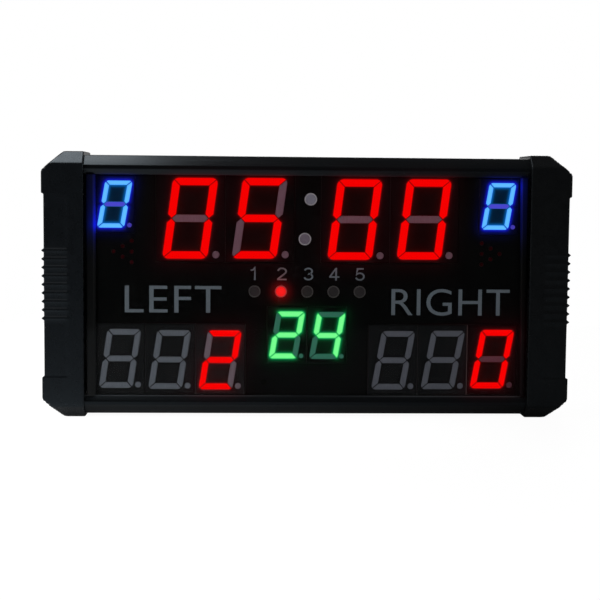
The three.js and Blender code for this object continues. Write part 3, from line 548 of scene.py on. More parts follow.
class Finish(Shading):
    """A material with one shader, whose colour, roughness and grain come from noise on the piece's own
    coordinates."""

    def __init__(self, name, colour, roughness, gloss=0.5, metal=0.0):
        self.material = bpy.data.materials.new(name)
        super().__init__(self.material)
        sockets = {
            "Base Color": (*colour, 1), "Roughness": roughness,
            "Specular IOR Level": gloss, "Metallic": metal,
        }
        self.shader = self.node("BsdfPrincipled", sockets)
        self.output = self.node("OutputMaterial", {"Surface": self.shader.outputs[0]})
        self.colour, self.roughness = colour, roughness
        self.bumped = None

    def set(self, socket, value):
        self.put(self.shader, socket, value)

    def place(self):
        """The piece's own coordinates."""
        return self.node("TexCoord").outputs["Object"]

    def noise(self, size, stretch=EVEN, detail=2.0):
        """Noise in patches about size millimetres across, longer along an axis with a larger stretch."""
        scale = [1 / (size * MM * s) for s in stretch]
        mapping = self.node("Mapping", {"Vector": self.place(), "Scale": scale})
        sockets = {"Vector": mapping.outputs[0], "Scale": 1, "Detail": detail}
        return self.node("TexNoise", sockets).outputs["Fac"]

    def mottle(self, size, share, stretch=EVEN):
        """The colour drifts by a share either way."""
        low, high = (tuple(c * (1 + s * share) for c in self.colour) for s in (-1, 1))
        self.set("Base Color", self.mixed(self.ranged(self.noise(size, stretch), 0, 1), low, high))
        return self

    def worn(self, size, share, stretch=EVEN):
        """The roughness drifts by a share either way."""
        low, high = (self.roughness * (1 + s * share) for s in (-1, 1))
        self.set("Roughness", self.ranged(self.noise(size, stretch, 4), low, high))
        return self

    def grain(self, size, depth, strength, stretch=EVEN):
        """A relief of grains size millimetres across and depth millimetres high."""
        inputs = {"Strength": strength, "Distance": depth * MM, "Height": self.noise(size, stretch, 3)}
        if self.bumped:
            inputs["Normal"] = self.bumped
        self.bumped = self.node("Bump", inputs).outputs[0]
        self.set("Normal", self.bumped)
        return self

    def shows(self, share, first, second):
        """The surface is a blend of two shaders."""
        both = self.node("MixShader", {0: share, 1: first.outputs[0], 2: second.outputs[0]})
        self.put(self.output, "Surface", both.outputs[0])


@functools.cache
def surface(name):
    """The material of this name. At the front it also shows light from the piece's own attribute."""
    kind, colour, *own_gloss = FINISHES[name]
    roughness, gloss, metal, mottle, worn, *grains = KINDS[kind]
    finish = Finish(name, colour, roughness, *(own_gloss or [gloss]), metal)
    if mottle:
        finish.mottle(*mottle)
    finish.worn(*worn)
    for grain in grains:
        finish.grain(*grain)
    if kind in LIT_KINDS:
        finish.set("Emission Color", finish.node("Attribute", attribute_name=LIGHT).outputs["Color"])
        finish.set("Emission Strength", 1.0)
    if kind in ("rail", "cap"):
        finish.set("Specular Tint", COOL)
    if kind == "rocker":
        finish.set("Coat Weight", 0.3)
    return finish.material


def circuit_board():
    """Green solder mask: a brick pattern of narrow lines stands for the copper tracks under it."""
    finish = Finish("circuit_board", (0.008, 0.06, 0.022), 0.35)
    turn = finish.node("Mapping", {"Vector": finish.place(), "Rotation": (math.pi / 2, 0, 0)})
    sizes = {"Scale": 140.0, "Mortar Size": 0.035, "Brick Width": 1.7, "Row Height": 0.45}
    brick = finish.node("TexBrick", {"Vector": turn.outputs[0], **sizes})
    finish.set("Base Color", finish.mixed(brick.outputs["Fac"], finish.colour, (0.02, 0.13, 0.05)))
    return finish.worn(3, 0.2).grain(0.6, 0.008, 0.3).material


def ribbon_vinyl():
    """Grey flat cable: a wave across it gives its round cores."""
    finish = Finish("ribbon", (0.22, 0.225, 0.235), 0.5, 0.4)
    wave = finish.node("TexWave", {"Vector": finish.place(), "Scale": 260.0}, bands_direction="X")
    finish.bumped = finish.node("Bump", {"Distance": 0.3 * MM, "Height": wave.outputs["Fac"]}).outputs[0]
    return finish.mottle(4, 0.08).worn(3, 0.15).grain(0.5, 0.01, 0.2).material


def clear_lens():
    """A clear sheet: light goes straight through it, and a little is mirrored, more at a slant."""
    finish = Finish("clear_lens", (1, 1, 1), 0.03)
    finish.tree.nodes.remove(finish.shader)
    through = finish.node("BsdfTransparent", {"Color": (0.965, 0.97, 0.972, 1)})
    roughness = finish.ranged(finish.noise(40, detail=3), 0.02, 0.045)
    mirror = finish.node("BsdfGlossy", {"Color": (1, 1, 1, 1), "Roughness": roughness})
    finish.shows(finish.node("Fresnel", {"IOR": 1.09}).outputs[0], through, mirror)
    return finish.material


# Body pieces

def rail_section():
    """A rail's outline in Y and the depth below its outer face: web, slots for the four sheets, an open
    screw port, and a front with a bevel, a land and a lip that slopes in to the lens."""
    port_y, port_depth, port_radius, bore = 8.0, 28.5, 4.0, 2.1
    web = math.asin(1 / port_radius)
    mouth = math.radians(34)
    outer = np.linspace(web, math.pi - mouth, 9)
    inner = np.linspace(math.pi - mouth * 1.4, 0, 9)
    right = [(port_y + port_radius * math.sin(a), port_depth - port_radius * math.cos(a)) for a in outer]
    right_bore = [(port_y + bore * math.sin(a), port_depth - bore * math.cos(a)) for a in inner]
    left_bore = [(2 * port_y - y, d) for y, d in right_bore[-2::-1]]
    left = [(2 * port_y - y, d) for y, d in right[::-1]]
    slot, rib = 16.75, 22.0
    points = [(-27.5, 0), (34.5, 0), (40.5, 6), (40.5, 24.25), (38.3, 24.25), (38.3, slot), (35.7, slot)]
    points += [(35.7, rib), (33.9, rib), (33.9, 2), (9, 2), *right, *right_bore, *left_bore, *left, (7, 2)]
    points += [(-14.5, 2), (-14.5, rib), (-16.3, rib), (-16.3, slot), (-18.5, slot), (-18.5, rib)]
    points += [(-20.3, rib), (-20.3, 2), (-26.3, 2), (-26.3, rib), (-28.1, rib), (-28.1, slot)]
    points += [(-34.0, slot), (-34.0, 24.25), (-34.8, 24.25)]
    points += [(-34.8 - 5.7 * t, 24.25 - 6.8 * t) for t in (0.16, 0.32, 0.6)]
    points += [(-40.5, 17.45), (-40.5, 13)]
    radius = np.full(len(points), 0.15)
    radius[[0, -1]] = 1.1
    radius[[1, 2, 3, -2]] = 0.8
    radius[-6] = 0.5
    return rounded(points, radius, 3)


# Light on the lower lip's edge, by its place along X
LIP_PLACES = (-280, -250, -120, 0, 60, 130, 268, 274)
LIP_LIGHT = (0.010, 0.016, 0.018, 0.006, 0.010, 0.020, 0.014, 0)


def add_rails():
    """The two rails: one section carried along X."""
    section = rail_section()
    stations = np.linspace(-RAIL_HALF, RAIL_HALF, 121)
    for name, sign, origin in (("top_rail", -1, RAIL_TOP), ("bottom_rail", 1, HEIGHT - RAIL_TOP)):
        def place(outline, x):
            return np.column_stack([np.full(len(outline), x), outline[:, 0], origin + sign * outline[:, 1]])

        rail = carried(section, stations, place)
        # The display's light falls on the front of the lip, most of all on its edge
        past_lip = np.abs(rail["points"][:, 2] - MIDDLE) - (WINDOW_HIGH - MIDDLE)
        facing = (rail["points"][:, 1] < -30) & (past_lip < 18.4)
        share = facing * (0.45 + 2.8 * np.exp(-np.abs(past_lip) / 1.8))
        rail["light"] = light_at(rail["points"]) * share[:, None]
        if sign > 0:
            # The lower lip's edge catches the light of the room
            brightness = np.interp(rail["points"][:, 0], LIP_PLACES, LIP_LIGHT)
            edge = facing * np.exp(-((past_lip / 1.2) ** 2)) * brightness
            rail["light"] += edge[:, None] * np.array((0.93, 1.0, 1.05))
        finish = [surface("anodised_rail")]
        piece(name.replace("rail", "rail_extrusion"), [rail], finish, replaces=[name])


def smooth_peak(distances, softness):
    """A smooth maximum over the last axis: softness * log of the sum of exp(distance / softness)."""
    highest = distances.max(-1)
    return highest + softness * np.log(np.exp((distances - highest[..., None]) / softness).sum(-1))


def step_up(value, middle, softness):
    """A smooth step from 0 to 1 about a middle."""
    t = np.clip((value - middle) / softness * 0.5 + 0.5, 0, 1)
    return t * t * (3 - 2 * t)


# End cap: its planes as an outward direction in X, Y and height from the middle, and their distance out
CAP_HALF_DEPTH = 45.0
BEVEL_LEG = 15.64
REAR_LEG = 8.64
CUT_LENGTH = math.hypot(26, 24)
CUT = (24 / CUT_LENGTH, 26 / CUT_LENGTH)
GRIP_HALF = 115.0
GRIP_START = HALF_WIDTH - 31.5
RIB_PITCH = 10.65
RIB_REACH = 4.5
CAP_PLANES = np.array([
    (0, -1, 0, CAP_HALF_DEPTH),
    (0, 1, 0, CAP_HALF_DEPTH),
    (0, 0, 1, MIDDLE),
    (0, -math.sqrt(0.5), math.sqrt(0.5), (CAP_HALF_DEPTH - BEVEL_LEG + MIDDLE) * math.sqrt(0.5)),
    (0, math.sqrt(0.5), math.sqrt(0.5), (CAP_HALF_DEPTH - REAR_LEG + MIDDLE) * math.sqrt(0.5)),
    (CUT[0], 0, CUT[1], CUT[0] * HALF_WIDTH + CUT[1] * (MIDDLE - 24)),
    (1, 0, 0, HALF_WIDTH),
])
CAP_WALLS = np.array([4.2, 4.2, 4.2, 4.2, 4.2, 4.0, 6.0])


def past_planes(points):
    """How far points lie past each of the cap's planes, with both halves of its height alike."""
    height = np.abs(points[..., 2] - MIDDLE)
    return np.stack([points[..., 0], points[..., 1], height], -1) @ CAP_PLANES[:, :3].T - CAP_PLANES[:, 3]


def cap_outside(points, lift=0.0):
    """How far points lie outside the end cap: the smooth maximum of the distances past its planes, where
    the front, rear and side planes are set back in the grip, except under its nine ribs, which stand higher
    by the lift, and all but the side draw in at the cap's inner rim."""
    x, height = points[..., 0], np.abs(points[..., 2] - MIDDLE)
    plain = past_planes(points)
    rim = 0.6 * np.clip(1 - (x - CAP_INNER) / 1.2, 0, 1)
    plain[..., :5] += rim[..., None]
    rib = 1 - step_up(np.abs(above_rib(points[..., 2] - lift)), 1.55, 1.35)
    sunk = (1 - step_up(height, GRIP_HALF, 1.1)) * (1 - rib)
    soft_end = np.where(points[..., 2] > MIDDLE, 1 - step_up(height, GRIP_HALF - 4, 6.0), 1)
    plain[..., 0] += 0.55 * sunk * soft_end * step_up(x, GRIP_START, 4.0)
    plain[..., 1] += 2.0 * sunk * step_up(x, GRIP_START, 1.1)
    plain[..., 6] += 2.8 * sunk
    return smooth_peak(plain, 0.55)


def above_rib(z):
    """Height above the nearest of the nine ribs, or a whole pitch away from them."""
    above = (z - MIDDLE + RIB_PITCH / 2) % RIB_PITCH - RIB_PITCH / 2
    return np.where(np.abs(z - MIDDLE) < RIB_REACH * RIB_PITCH, above, RIB_PITCH)


def cap_inside(points, lift=0.0):
    """How far points lie outside the cap's hollow: the same planes, drawn in by the wall and without ribs."""
    return smooth_peak(past_planes(points) + CAP_WALLS, 0.4)


def cap_rays():
    """Starts and directions of the rays that meet the cap's surface. Round a tall loop the start slides up
    and down a line and turns about its ends; from ring to ring it first moves out along X, then the ray tips
    towards +X, with the rings packed where it passes the side face's edge."""
    tall = 124.0
    across_rib = np.array([-2.6, -2.0, -1.3, -0.6, 0, 0.6, 1.3, 2.0, 2.6, 3.5])
    ribs = np.arange(-4, 5)[:, None] * RIB_PITCH + across_rib
    ends = np.concatenate([np.linspace(s * GRIP_HALF - 1.5, s * GRIP_HALF + 1.5, 7) for s in (-1, 1)])
    between = np.concatenate([np.linspace(-tall, -50, 14), np.linspace(50, tall, 14)])
    height = np.unique(np.round(np.concatenate([ribs.ravel(), ends, between]), 3))
    up, deep = MIDDLE - tall, CAP_HALF_DEPTH
    reach = [math.atan2(MIDDLE - BEVEL_LEG - tall, deep), math.atan2(up, deep - BEVEL_LEG)]
    reach += [math.pi - math.atan2(up, deep - REAR_LEG), math.pi - math.atan2(MIDDLE - REAR_LEG - tall, deep)]
    packed = np.concatenate([a + np.linspace(-0.05, 0.05, 7) for a in reach])
    turn = np.unique(np.round(np.concatenate([packed, np.linspace(0, math.pi, 50)[1:-1]]), 4))
    # Up the front, over the top, down the rear and under the bottom
    start_height = np.concatenate([height, np.full(len(turn), tall), height[::-1], np.full(len(turn), -tall)])
    angle = np.concatenate([np.zeros(len(height)), turn, np.full(len(height), math.pi), math.pi + turn])
    outward = np.column_stack([-np.cos(angle), np.sin(angle)])

    inward = 30.0
    foot = HALF_WIDTH - inward
    along = np.unique(np.concatenate([
        np.linspace(CAP_INNER, CAP_INNER + 1.5, 4),
        np.linspace(CAP_INNER + 1.5, foot, 9),
        np.linspace(GRIP_START - 4.2, foot, 10),
    ]))
    # The side face's edge, as an angle of the tipped ray
    side = CAP_PLANES[:6]
    over = side[:, 3] - side[:, 0] * HALF_WIDTH - np.abs(start_height)[:, None] * side[:, 2]
    flip = np.sign(start_height + 1e-9)
    slope = outward[:, :1] * side[:, 1] + outward[:, 1:] * flip[:, None] * side[:, 2]
    distance = np.where(slope > 1e-6, over / np.maximum(slope, 1e-6), np.inf).min(1)
    edge = np.arctan2(inward, distance)
    before = np.concatenate([np.linspace(0, 0.9, 12)[1:], np.linspace(0.93, 0.99, 4)])
    after = np.concatenate([np.linspace(0, 0.07, 6), np.linspace(0.1, 1, 16)])
    tip = np.concatenate([edge * before[:, None], edge + (math.pi / 2 - edge) * after[:, None]])

    rows, columns = len(along) + len(tip), len(angle)
    starts = np.zeros((rows, columns, 3))
    starts[..., 0] = np.concatenate([along, np.full(len(tip), foot)])[:, None]
    starts[..., 2] = MIDDLE + start_height
    tipped = np.concatenate([np.zeros((len(along), columns)), tip])
    untipped = np.cos(tipped)
    directions = np.stack([np.sin(tipped), untipped * outward[:, 0], untipped * outward[:, 1]], -1)
    return starts, directions


def meet(starts, directions, outside):
    """Where each ray leaves a shape: halving between the start, which is inside, and a point far out."""
    low = np.zeros(starts.shape[:2])
    high = np.full(starts.shape[:2], 90.0)
    for _ in range(40):
        middle = (low + high) / 2
        out = outside(starts + middle[..., None] * directions) > 0
        high = np.where(out, middle, high)
        low = np.where(out, low, middle)
    return starts + high[..., None] * directions


def slope_of(outside, points):
    """The outward direction of a shape at points: its distance's central differences."""
    step = 0.02
    moves = np.eye(3) * step
    found = np.stack([outside(points + move) - outside(points - move) for move in moves], -1)
    return found / np.maximum(norms(found), 1e-12)[..., None]


def add_end_caps():
    """The two caps: a shell between an outer and an inner surface, closed round its rim, with a straight
    return on the front and the rear beside the window. The left one is the right one mirrored."""
    starts, directions = cap_rays()
    outer, inner = (meet(starts, directions, outside) for outside in (cap_outside, cap_inside))
    # The last ring has folded up into an upright line: its front and rear halves meet there
    for ring in (outer, inner):
        ring[-1, :, 1] = 0
    rows, columns = outer.shape[:2]
    count = rows * columns
    shell = grid_faces(rows, columns)
    ring = np.arange(columns)
    rim = np.column_stack([ring, np.roll(ring, -1), count + np.roll(ring, -1), count + ring])
    points = np.concatenate([outer.reshape(-1, 3), inner.reshape(-1, 3)])
    body = part(points, [shell[:, ::-1], shell + count, rim])
    returns = []
    for y0, y1 in ((-42.75, -34.0), (38.3, 42.75)):
        section = rounded(box_of(CAP_INNER, CAP_INNER + 3, y0, y1), 0.4, 2)
        returns.append(carried(section, STRIP_ENDS, upright))
    for side, sign, lift in (("right", 1, -0.4), ("left", -1, 1.4)):
        parts = []
        # Painted highlight: a fine line of light just above the crests of the left cap's ribs, on the front
        crest_highlight = np.exp(-(((above_rib(body["points"][:, 2]) - 2.5) / 0.6) ** 2))
        crest_highlight *= (body["points"][:, 1] < -CAP_HALF_DEPTH + 2.5) & (body["points"][:, 0] > GRIP_START)
        body["light"] = crest_highlight[:, None] * np.array((0.0125, 0.0135, 0.0145)) * (sign < 0)
        for one in [body, *returns]:
            twin = dict(one, points=one["points"] * (sign, 1, 1))
            twin["points"][:, 2] += lift * (1 - step_up(np.abs(one["points"][:, 2] - MIDDLE), 75, 20))
            if sign < 0:
                twin["faces"] = [group[:, ::-1] for group in one["faces"]]
            parts.append(twin)
        name = side + "_moulded_cap"
        cap = piece(name, parts, [surface(name)], replaces=[side + "_end_cap"], sharp=0)
        merge_doubles(cap.data, 0.002)
        cut_screw_holes(cap, sign)
        set_cap_normals(cap, sign, lift)


def upright(outline, z):
    """A level outline at a height."""
    return np.column_stack([outline, np.full(len(outline), z)])


def merge_doubles(mesh, distance, level=False):
    """Points closer than a distance in millimetres become one, and so do level faces that meet, if asked."""
    work = bmesh.new()
    work.from_mesh(mesh)
    bmesh.ops.remove_doubles(work, verts=work.verts, dist=distance * MM)
    if level:
        bmesh.ops.dissolve_limit(work, angle_limit=math.radians(1), verts=work.verts, edges=work.edges)
    work.to_mesh(mesh)
    work.free()


SCREW_PLACES = [(8.0, 302.85), (8.0, 33.0)]
SCREW_SEAT = HALF_WIDTH - 4.5
HEAD_HOLE = 4.3
SHANK_HOLE = 2.1


def cut_screw_holes(cap, sign):
    """Cuts a stepped hole for each cap screw: wide down to the head's seat, then narrow through the wall."""
    profile = np.array([
        (0, HALF_WIDTH + 3), (HEAD_HOLE + 0.5, HALF_WIDTH + 3), (HEAD_HOLE + 0.5, HALF_WIDTH + 0.1),
        (HEAD_HOLE, HALF_WIDTH - 0.5), (HEAD_HOLE, SCREW_SEAT),
        (SHANK_HOLE, SCREW_SEAT), (SHANK_HOLE, SCREW_SEAT - 6), (0, SCREW_SEAT - 6),
    ])
    drill = turned(profile, 0, 0, 40)
    p = drill["points"]
    places = [np.column_stack([sign * p[:, 1], p[:, 0] + y, p[:, 2] + z]) for y, z in SCREW_PLACES]
    drills = piece("drills", [part(place, drill["faces"]) for place in places], [], sharp=0)
    cut = cap.modifiers.new("holes", "BOOLEAN")
    cut.operation = "DIFFERENCE"
    cut.object = drills
    cut.solver = "EXACT"
    solid = final_mesh(cap)
    cap.modifiers.clear()
    solid.name = cap.data.name
    cap.data = solid
    bpy.data.objects.remove(drills)


def final_mesh(made):
    """The mesh that an object's modifiers or its text give."""
    return bpy.data.meshes.new_from_object(made.evaluated_get(bpy.context.evaluated_depsgraph_get()))


def read(items, key, kind, size=1):
    """One property of every point, face or corner, as rows of a size."""
    values = np.zeros(len(items) * size, kind)
    items.foreach_get(key, values)
    return values.reshape(-1, size) if size > 1 else values


def set_cap_normals(cap, sign, lift):
    """Shades the shell by the slope of its own formula, and the holes, the rim and the returns by their
    flat faces."""
    mesh = cap.data
    side = np.array([sign, 1, 1])
    mesh.polygons.foreach_set("use_smooth", np.ones(len(mesh.polygons), bool))
    points = read(mesh.vertices, "co", np.float32, 3).astype(float) / MM * side
    corner = read(mesh.loops, "vertex_index", np.int32)
    totals = read(mesh.polygons, "loop_total", np.int32)
    flat = np.repeat(read(mesh.polygons, "normal", np.float32, 3), totals, 0) * side
    normal = flat.copy()
    for outside, turn in ((cap_outside, 1), (cap_inside, -1)):
        slope = slope_of(lambda p: outside(p, lift), points) * turn
        on = np.abs(outside(points, lift)) < 0.03
        take = on[corner] & ((slope[corner] * flat).sum(1) > 0.6)
        normal[take] = slope[corner][take]
    mesh.normals_split_custom_set((normal * side).tolist())


TRIM_WIDE = 11
TRIM_ROWS = 94


def add_trims():
    """The two strips beside the window: a slanted nose towards the lens and a flat land outside. The right
    one tapers: its inner edge stands off the window's plain edge by a little at the top and by more at the
    bottom."""
    outer = WINDOW_HALF + TRIM_WIDE
    section = [(WINDOW_HALF, -34.0), (outer, -34.0), (outer, -37.6)]
    section += [(WINDOW_HALF + 2.9, -37.6), (WINDOW_HALF, -34.6)]
    section = rounded(section, [0.1, 0.2, 0.7, 0.9, 0.25], 4)
    for side, sign, drawn, sheen in (("left", -1, (0, 0), 0.0030), ("right", 1, (7.2, 2.3), 0.0008)):
        def place(outline, z):
            back = np.interp(z, (WINDOW_LOW, WINDOW_HIGH), drawn)
            x = outer - (outer - outline[:, 0]) * (1 - back / TRIM_WIDE)
            return upright(np.column_stack([sign * x, outline[:, 1]]), z)

        strip = carried(section, np.linspace(*STRIP_ENDS, TRIM_ROWS), place)
        across = np.tile(section[:, 0] < WINDOW_HALF + 3.1, TRIM_ROWS)[:, None]
        strip["light"] = light_at(strip["points"], 2.2) * np.where(across, (0.5, 1.1, 1.7), (0.3, 0.8, 0.65))
        # The bright table below shows as a sheen on the lower half
        low = 1 - step_up(strip["points"][:, 2], 112.0, 6.0)
        strip["light"] += low[:, None] * sheen * np.array((0.9, 1.0, 1.06))
        node = side + "_lens_trim"
        piece(side + "_trim_strip", [strip], [surface(node)], replaces=[node])


# Face pieces

def bar_outlines(name, step):
    """The seven bars of a digit in place, drawn in by a step on all sides, in the order of BAR_LETTERS."""
    height, width, bar, level, corner = digit_kind(name)[:5]
    w, h, t, v, c = width / 2 - step, height / 2 - step, bar - 2 * step, level - 2 * step, corner - step
    s = 1.0 / math.sqrt(2) + step * math.sqrt(2)
    # The outer corner is an arc, which the slit between two bars cuts in half
    slit = math.asin(s / (c * math.sqrt(2)))
    over, down = (
        np.column_stack([w - c + c * np.cos(a), h - c + c * np.sin(a)])
        for a in (np.linspace(math.pi / 2, math.pi / 4 + slit, 6), np.linspace(math.pi / 4 - slit, 0, 6))
    )
    top = np.concatenate([over[::-1] * (-1, 1), over, [(w - t - s, h - v), (t + s - w, h - v)]])
    side = np.concatenate([down, [(w, v / 2 + s), (w - t / 2, s), (w - t, v / 2 + s), (w - t, h - v - s)]])
    middle = [
        (t / 2 + s - w, 0), (t + s - w, v / 2), (w - t - s, v / 2),
        (w - t / 2 - s, 0), (w - t - s, -v / 2), (t + s - w, -v / 2),
    ]
    top, side, middle = (np.array(p) for p in (top, side, middle))
    bars = [top, middle, top * (1, -1)] + [side * (sx, sz) for sx in (1, -1) for sz in (1, -1)]
    sheared = [bar + np.column_stack([bar[:, 1] * slant_of(name), np.zeros(len(bar))]) for bar in bars]
    return [(bar if turning(bar) > 0 else bar[::-1]) + DIGIT_PLACE[name] for bar in sheared]


def dot_outline(name, step):
    """The round dot beside the digit's foot."""
    height, radius, out = (digit_kind(name)[i] for i in (0, 5, 6))
    x, z = DIGIT_PLACE[name] + (out, radius + 0.6 - height / 2)
    return ring_of(x, z, radius - step, 28)


# The resin of each digit's unlit bars, by the words in its name: the last one's is dim, the others' grey
# The left score digits' pale resin is the grey made lighter: painted light, which falls stronger on the left
TONES = {"timer": "mauve", "shot": "shade", "foul": "dark", "left": "pale"}
LAST_DIGIT = "right_score_digit_3"
# The gap between a bar and its well
BAR_GAP = 0.12


def add_digits():
    """Each module's black face, with wells for its bars and dot, and the resin that fills them, a little
    crowned."""
    for name in DIGIT_PLACE:
        tone = "dim" if name == LAST_DIGIT else next((t for word, t in TONES.items() if word in name), "grey")
        face = surface("digit_face" if tone in ("grey", "pale") else "dark_digit_face")
        low, high = box_of_node(name + "_housing")
        outline = node_outline(name + "_housing", 0.9)
        wells = [rounded(bar, 0.75, 3) for bar in bar_outlines(name, 0)] + [dot_outline(name, 0)]

        def bevelled(points):
            """Set back by 0.55 mm at the module's edge, and evenly less up to 0.6 mm from it."""
            return 0.55 * np.clip(1 - edge_reach(points, [outline]) / 0.6, 0, 1)

        spacing = 1.3 if name in SHOWN else 2.0
        housing = slab(outline, wells, low[1], high[1], spacing, [inset(outline, 0.6)], bevelled)
        # A thin line of light stands on the seams between neighbouring modules, plainest on the last one's
        x, y, _ = housing["points"].T
        seam = np.exp(-np.abs(x - low[0]) / 0.2) * (y < low[1] + 1) * (1.0 if name == LAST_DIGIT else 0.08)
        housing["light"] = light_at(housing["points"]) + seam[:, None] * np.array((0.055, 0.032, 0.032))
        piece(name + "_face", [housing], [face], replaces=[name + "_housing"])

        sign, colour = SHOWN.get(name, ("", None))
        parts = []
        bars = [rounded(bar, 0.7, 3) for bar in bar_outlines(name, BAR_GAP)] + [dot_outline(name, BAR_GAP)]
        for letter, bar in zip(BAR_LETTERS + ".", bars):
            lit = letter in BARS_OF.get(sign, "")

            def crowned(points):
                """Raised by 0.28 * (1 - exp(-distance from the bar's edge / 0.9))."""
                return -0.28 * (1 - np.exp(-edge_reach(points, [bar]) / 0.9))

            rings = [inset(bar, 0.5), inset(bar, 1.3)]
            one = slab(bar, [], low[1] + 0.2, high[1] - 0.4, 1.6, rings, crowned, int(lit))
            if lit:
                core, rim_light = (np.array(c) for c in BAR_LIGHT[colour][:2])
                deep = np.exp(-edge_reach(one["points"][:, [0, 2]], [bar]) / 0.7)[:, None]
                one["light"] = core * (1 - deep) + rim_light * deep
            elif sign:
                # The unlit bars of a lit digit glow with painted light from its lit bars
                unlit_bar_light = BAR_LIGHT[colour][{"g": 2, ".": 4}.get(letter, 3)]
                one["light"] = np.tile(np.array(unlit_bar_light), (len(one["points"]), 1))
            else:
                one["light"] = light_at(one["points"])
            parts.append(one)
        node = name + "_segments"
        parts.append(slab(outline, [], high[1] + 0.3, box_of_node(node)[1][1]))
        resins = [surface(tone + "_resin"), surface("lit_resin")]
        piece(name + "_bars", parts, resins, replaces=[node])


ROUND_LAMPS = [f"period_lamp_{i}" for i in range(1, 6)] + ["colon_lamp_upper", "colon_lamp_lower"]
COLON = {"colon_lamp_upper": "upper_colon_resin", "colon_lamp_lower": "lower_colon_resin"}
ARROWS = {"left_arrow_lamps": -1, "right_arrow_lamps": 1}
ARROW_PITCH_X, ARROW_PITCH_Z = 11.4, 13.5
ARROW_STEPS = [(0, 0), (1, 0.5), (1, -0.5), (2, 1), (2, 0), (2, -1)]
EYE = "remote_eye"
# The Y of the lamps' plates, just behind the mask, and of the small domes' feet
SEAT = FACE_REAR + 0.3
DOME_FOOT = FACE_REAR + 1.0


def arrow_places(node):
    """The six lamps of an arrow, from its tip back: the node's box ends 6.5 mm past its outermost lamps."""
    low, high = box_of_node(node)
    sign = ARROWS[node]
    tip = sign * (max(abs(low[0]), abs(high[0])) - 6.5)
    z = (low[2] + high[2]) / 2
    return [(tip - sign * back * ARROW_PITCH_X, z + up * ARROW_PITCH_Z) for back, up in ARROW_STEPS]


def domed(width, brim, rise, foot, power=2, count=8):
    """A lamp's profile: its Y is brim - rise * sqrt(1 - r^power) for r from 0 to 1, and a foot closes it."""
    radius = np.linspace(0, 1, count)
    dome = np.column_stack([width * radius, brim - rise * np.sqrt(np.maximum(1 - radius**power, 0))])
    return np.concatenate([dome, [foot, (0, foot[1])]])


def add_round_lamps():
    """Each lamp's ring and the dome in it, both turned about the lamp's axis."""
    for name in ROUND_LAMPS:
        resin = surface(COLON.get(name, "lamp_resin"))
        ring = surface("colon_ring" if name in COLON else "lamp_ring")
        low, high = box_of_node(name)
        x, _, z = node_middle(name)
        outer = (high[0] - low[0]) / 2 - 1.8
        front, rear = low[1], high[1]
        lit = name == LIT_LAMP
        holder = [(0, front + 0.5), (outer - 1.15, front + 0.5), (outer - 1.05, front + 0.02)]
        holder += [(outer - 0.1, front), (outer, front + 0.5), (outer, SEAT), (outer + 1.8, SEAT)]
        holder += [(outer + 1.8, rear), (0, rear)]
        holder = rounded(holder, [0, 0.1, 0.3, 0.2, 0.2, 0.1, 0.3, 0.3, 0], 3, closed=False)
        rim = turned(holder, x, z, 48, 1)
        rim["light"] = light_at(rim["points"], 1.3) * (2.0 if lit else 1.0)
        edge = outer - 1.3
        lens = turned(domed(edge, front + 0.32, 0.3, (edge, front + 0.9), 4, 9), x, z, 48, 2 if lit else 0)
        lens["light"] = light_at(lens["points"], 2.2) * 0.5
        if lit:
            inward = norms(lens["points"][:, [0, 2]] - (x, z)) / edge
            lens["light"] = np.array((1.0, 0.014, 0.014)) * (1 - 0.12 * inward[:, None] ** 4)
        piece(name + "_lens", [rim, lens], [resin, ring, surface("lit_resin")], replaces=[name])


def add_small_lamps():
    """The lamps of the two arrows and the receiver's eye: small domes on a plate behind the mask."""
    for node in ARROWS:
        low, high = box_of_node(node)
        plate = slab(node_outline(node, 1.5), [], SEAT, high[1], material=1)
        dome = domed(2.45, low[1] + 0.5, 0.65, (2.5, DOME_FOOT))
        parts = [plate] + [turned(dome, x, z, 28) for x, z in arrow_places(node)]
        finishes = [surface("arrow_lamp_resin"), surface("black_fitting")]
        piece(node + "_domes", parts, finishes, replaces=[node])

    low, high = box_of_node(EYE)
    x, _, z = node_middle(EYE)
    dome = turned(domed(3.15, low[1] + 0.3, 0.5, (3.2, DOME_FOOT)), x, z, 32)
    plate = slab(node_outline(EYE, 0.8), [], SEAT, high[1])
    piece("receiver_dome", [dome, plate], [surface("receiver_window")], replaces=[EYE])


def digit_group(name):
    """The opening of the mask that a digit shows in."""
    if name.startswith("timer"):
        return "timer_left" if DIGIT_PLACE[name][0] < 0 else "timer_right"
    return name.rsplit("_", 1)[0] if "foul" not in name else name


def add_mask():
    """The black sheet behind the lens, open at every group of modules and every lamp."""
    outline = node_outline("mask_panel", 1.0, 3)
    groups = {}
    for name in DIGIT_PLACE:
        groups.setdefault(digit_group(name), []).append(box_of_node(name + "_housing"))
    holes = []
    for boxes in groups.values():
        lowest = np.min([b[0] for b in boxes], 0) - 0.3
        highest = np.max([b[1] for b in boxes], 0) + 0.3
        holes.append(rounded(box_of(lowest[0], highest[0], lowest[2], highest[2]), 0.9, 3))
    for name in ROUND_LAMPS:
        x, _, z = node_middle(name)
        low, high = box_of_node(name)
        holes.append(ring_of(x, z, (high[0] - low[0]) / 2 - 1.5, 48))
    for node in ARROWS:
        holes += [ring_of(x, z, 2.8, 28) for x, z in arrow_places(node)]
    x, _, z = node_middle(EYE)
    holes.append(ring_of(x, z, 3.5, 28))
    sheet = slab(outline, holes, FACE_FRONT, FACE_REAR, 3.0)
    sheet["light"] = light_at(sheet["points"])
    piece("black_mask", [sheet], [surface("mask_sheet")], replaces=["mask_panel"])


# The thickness of print
PRINT = 0.07


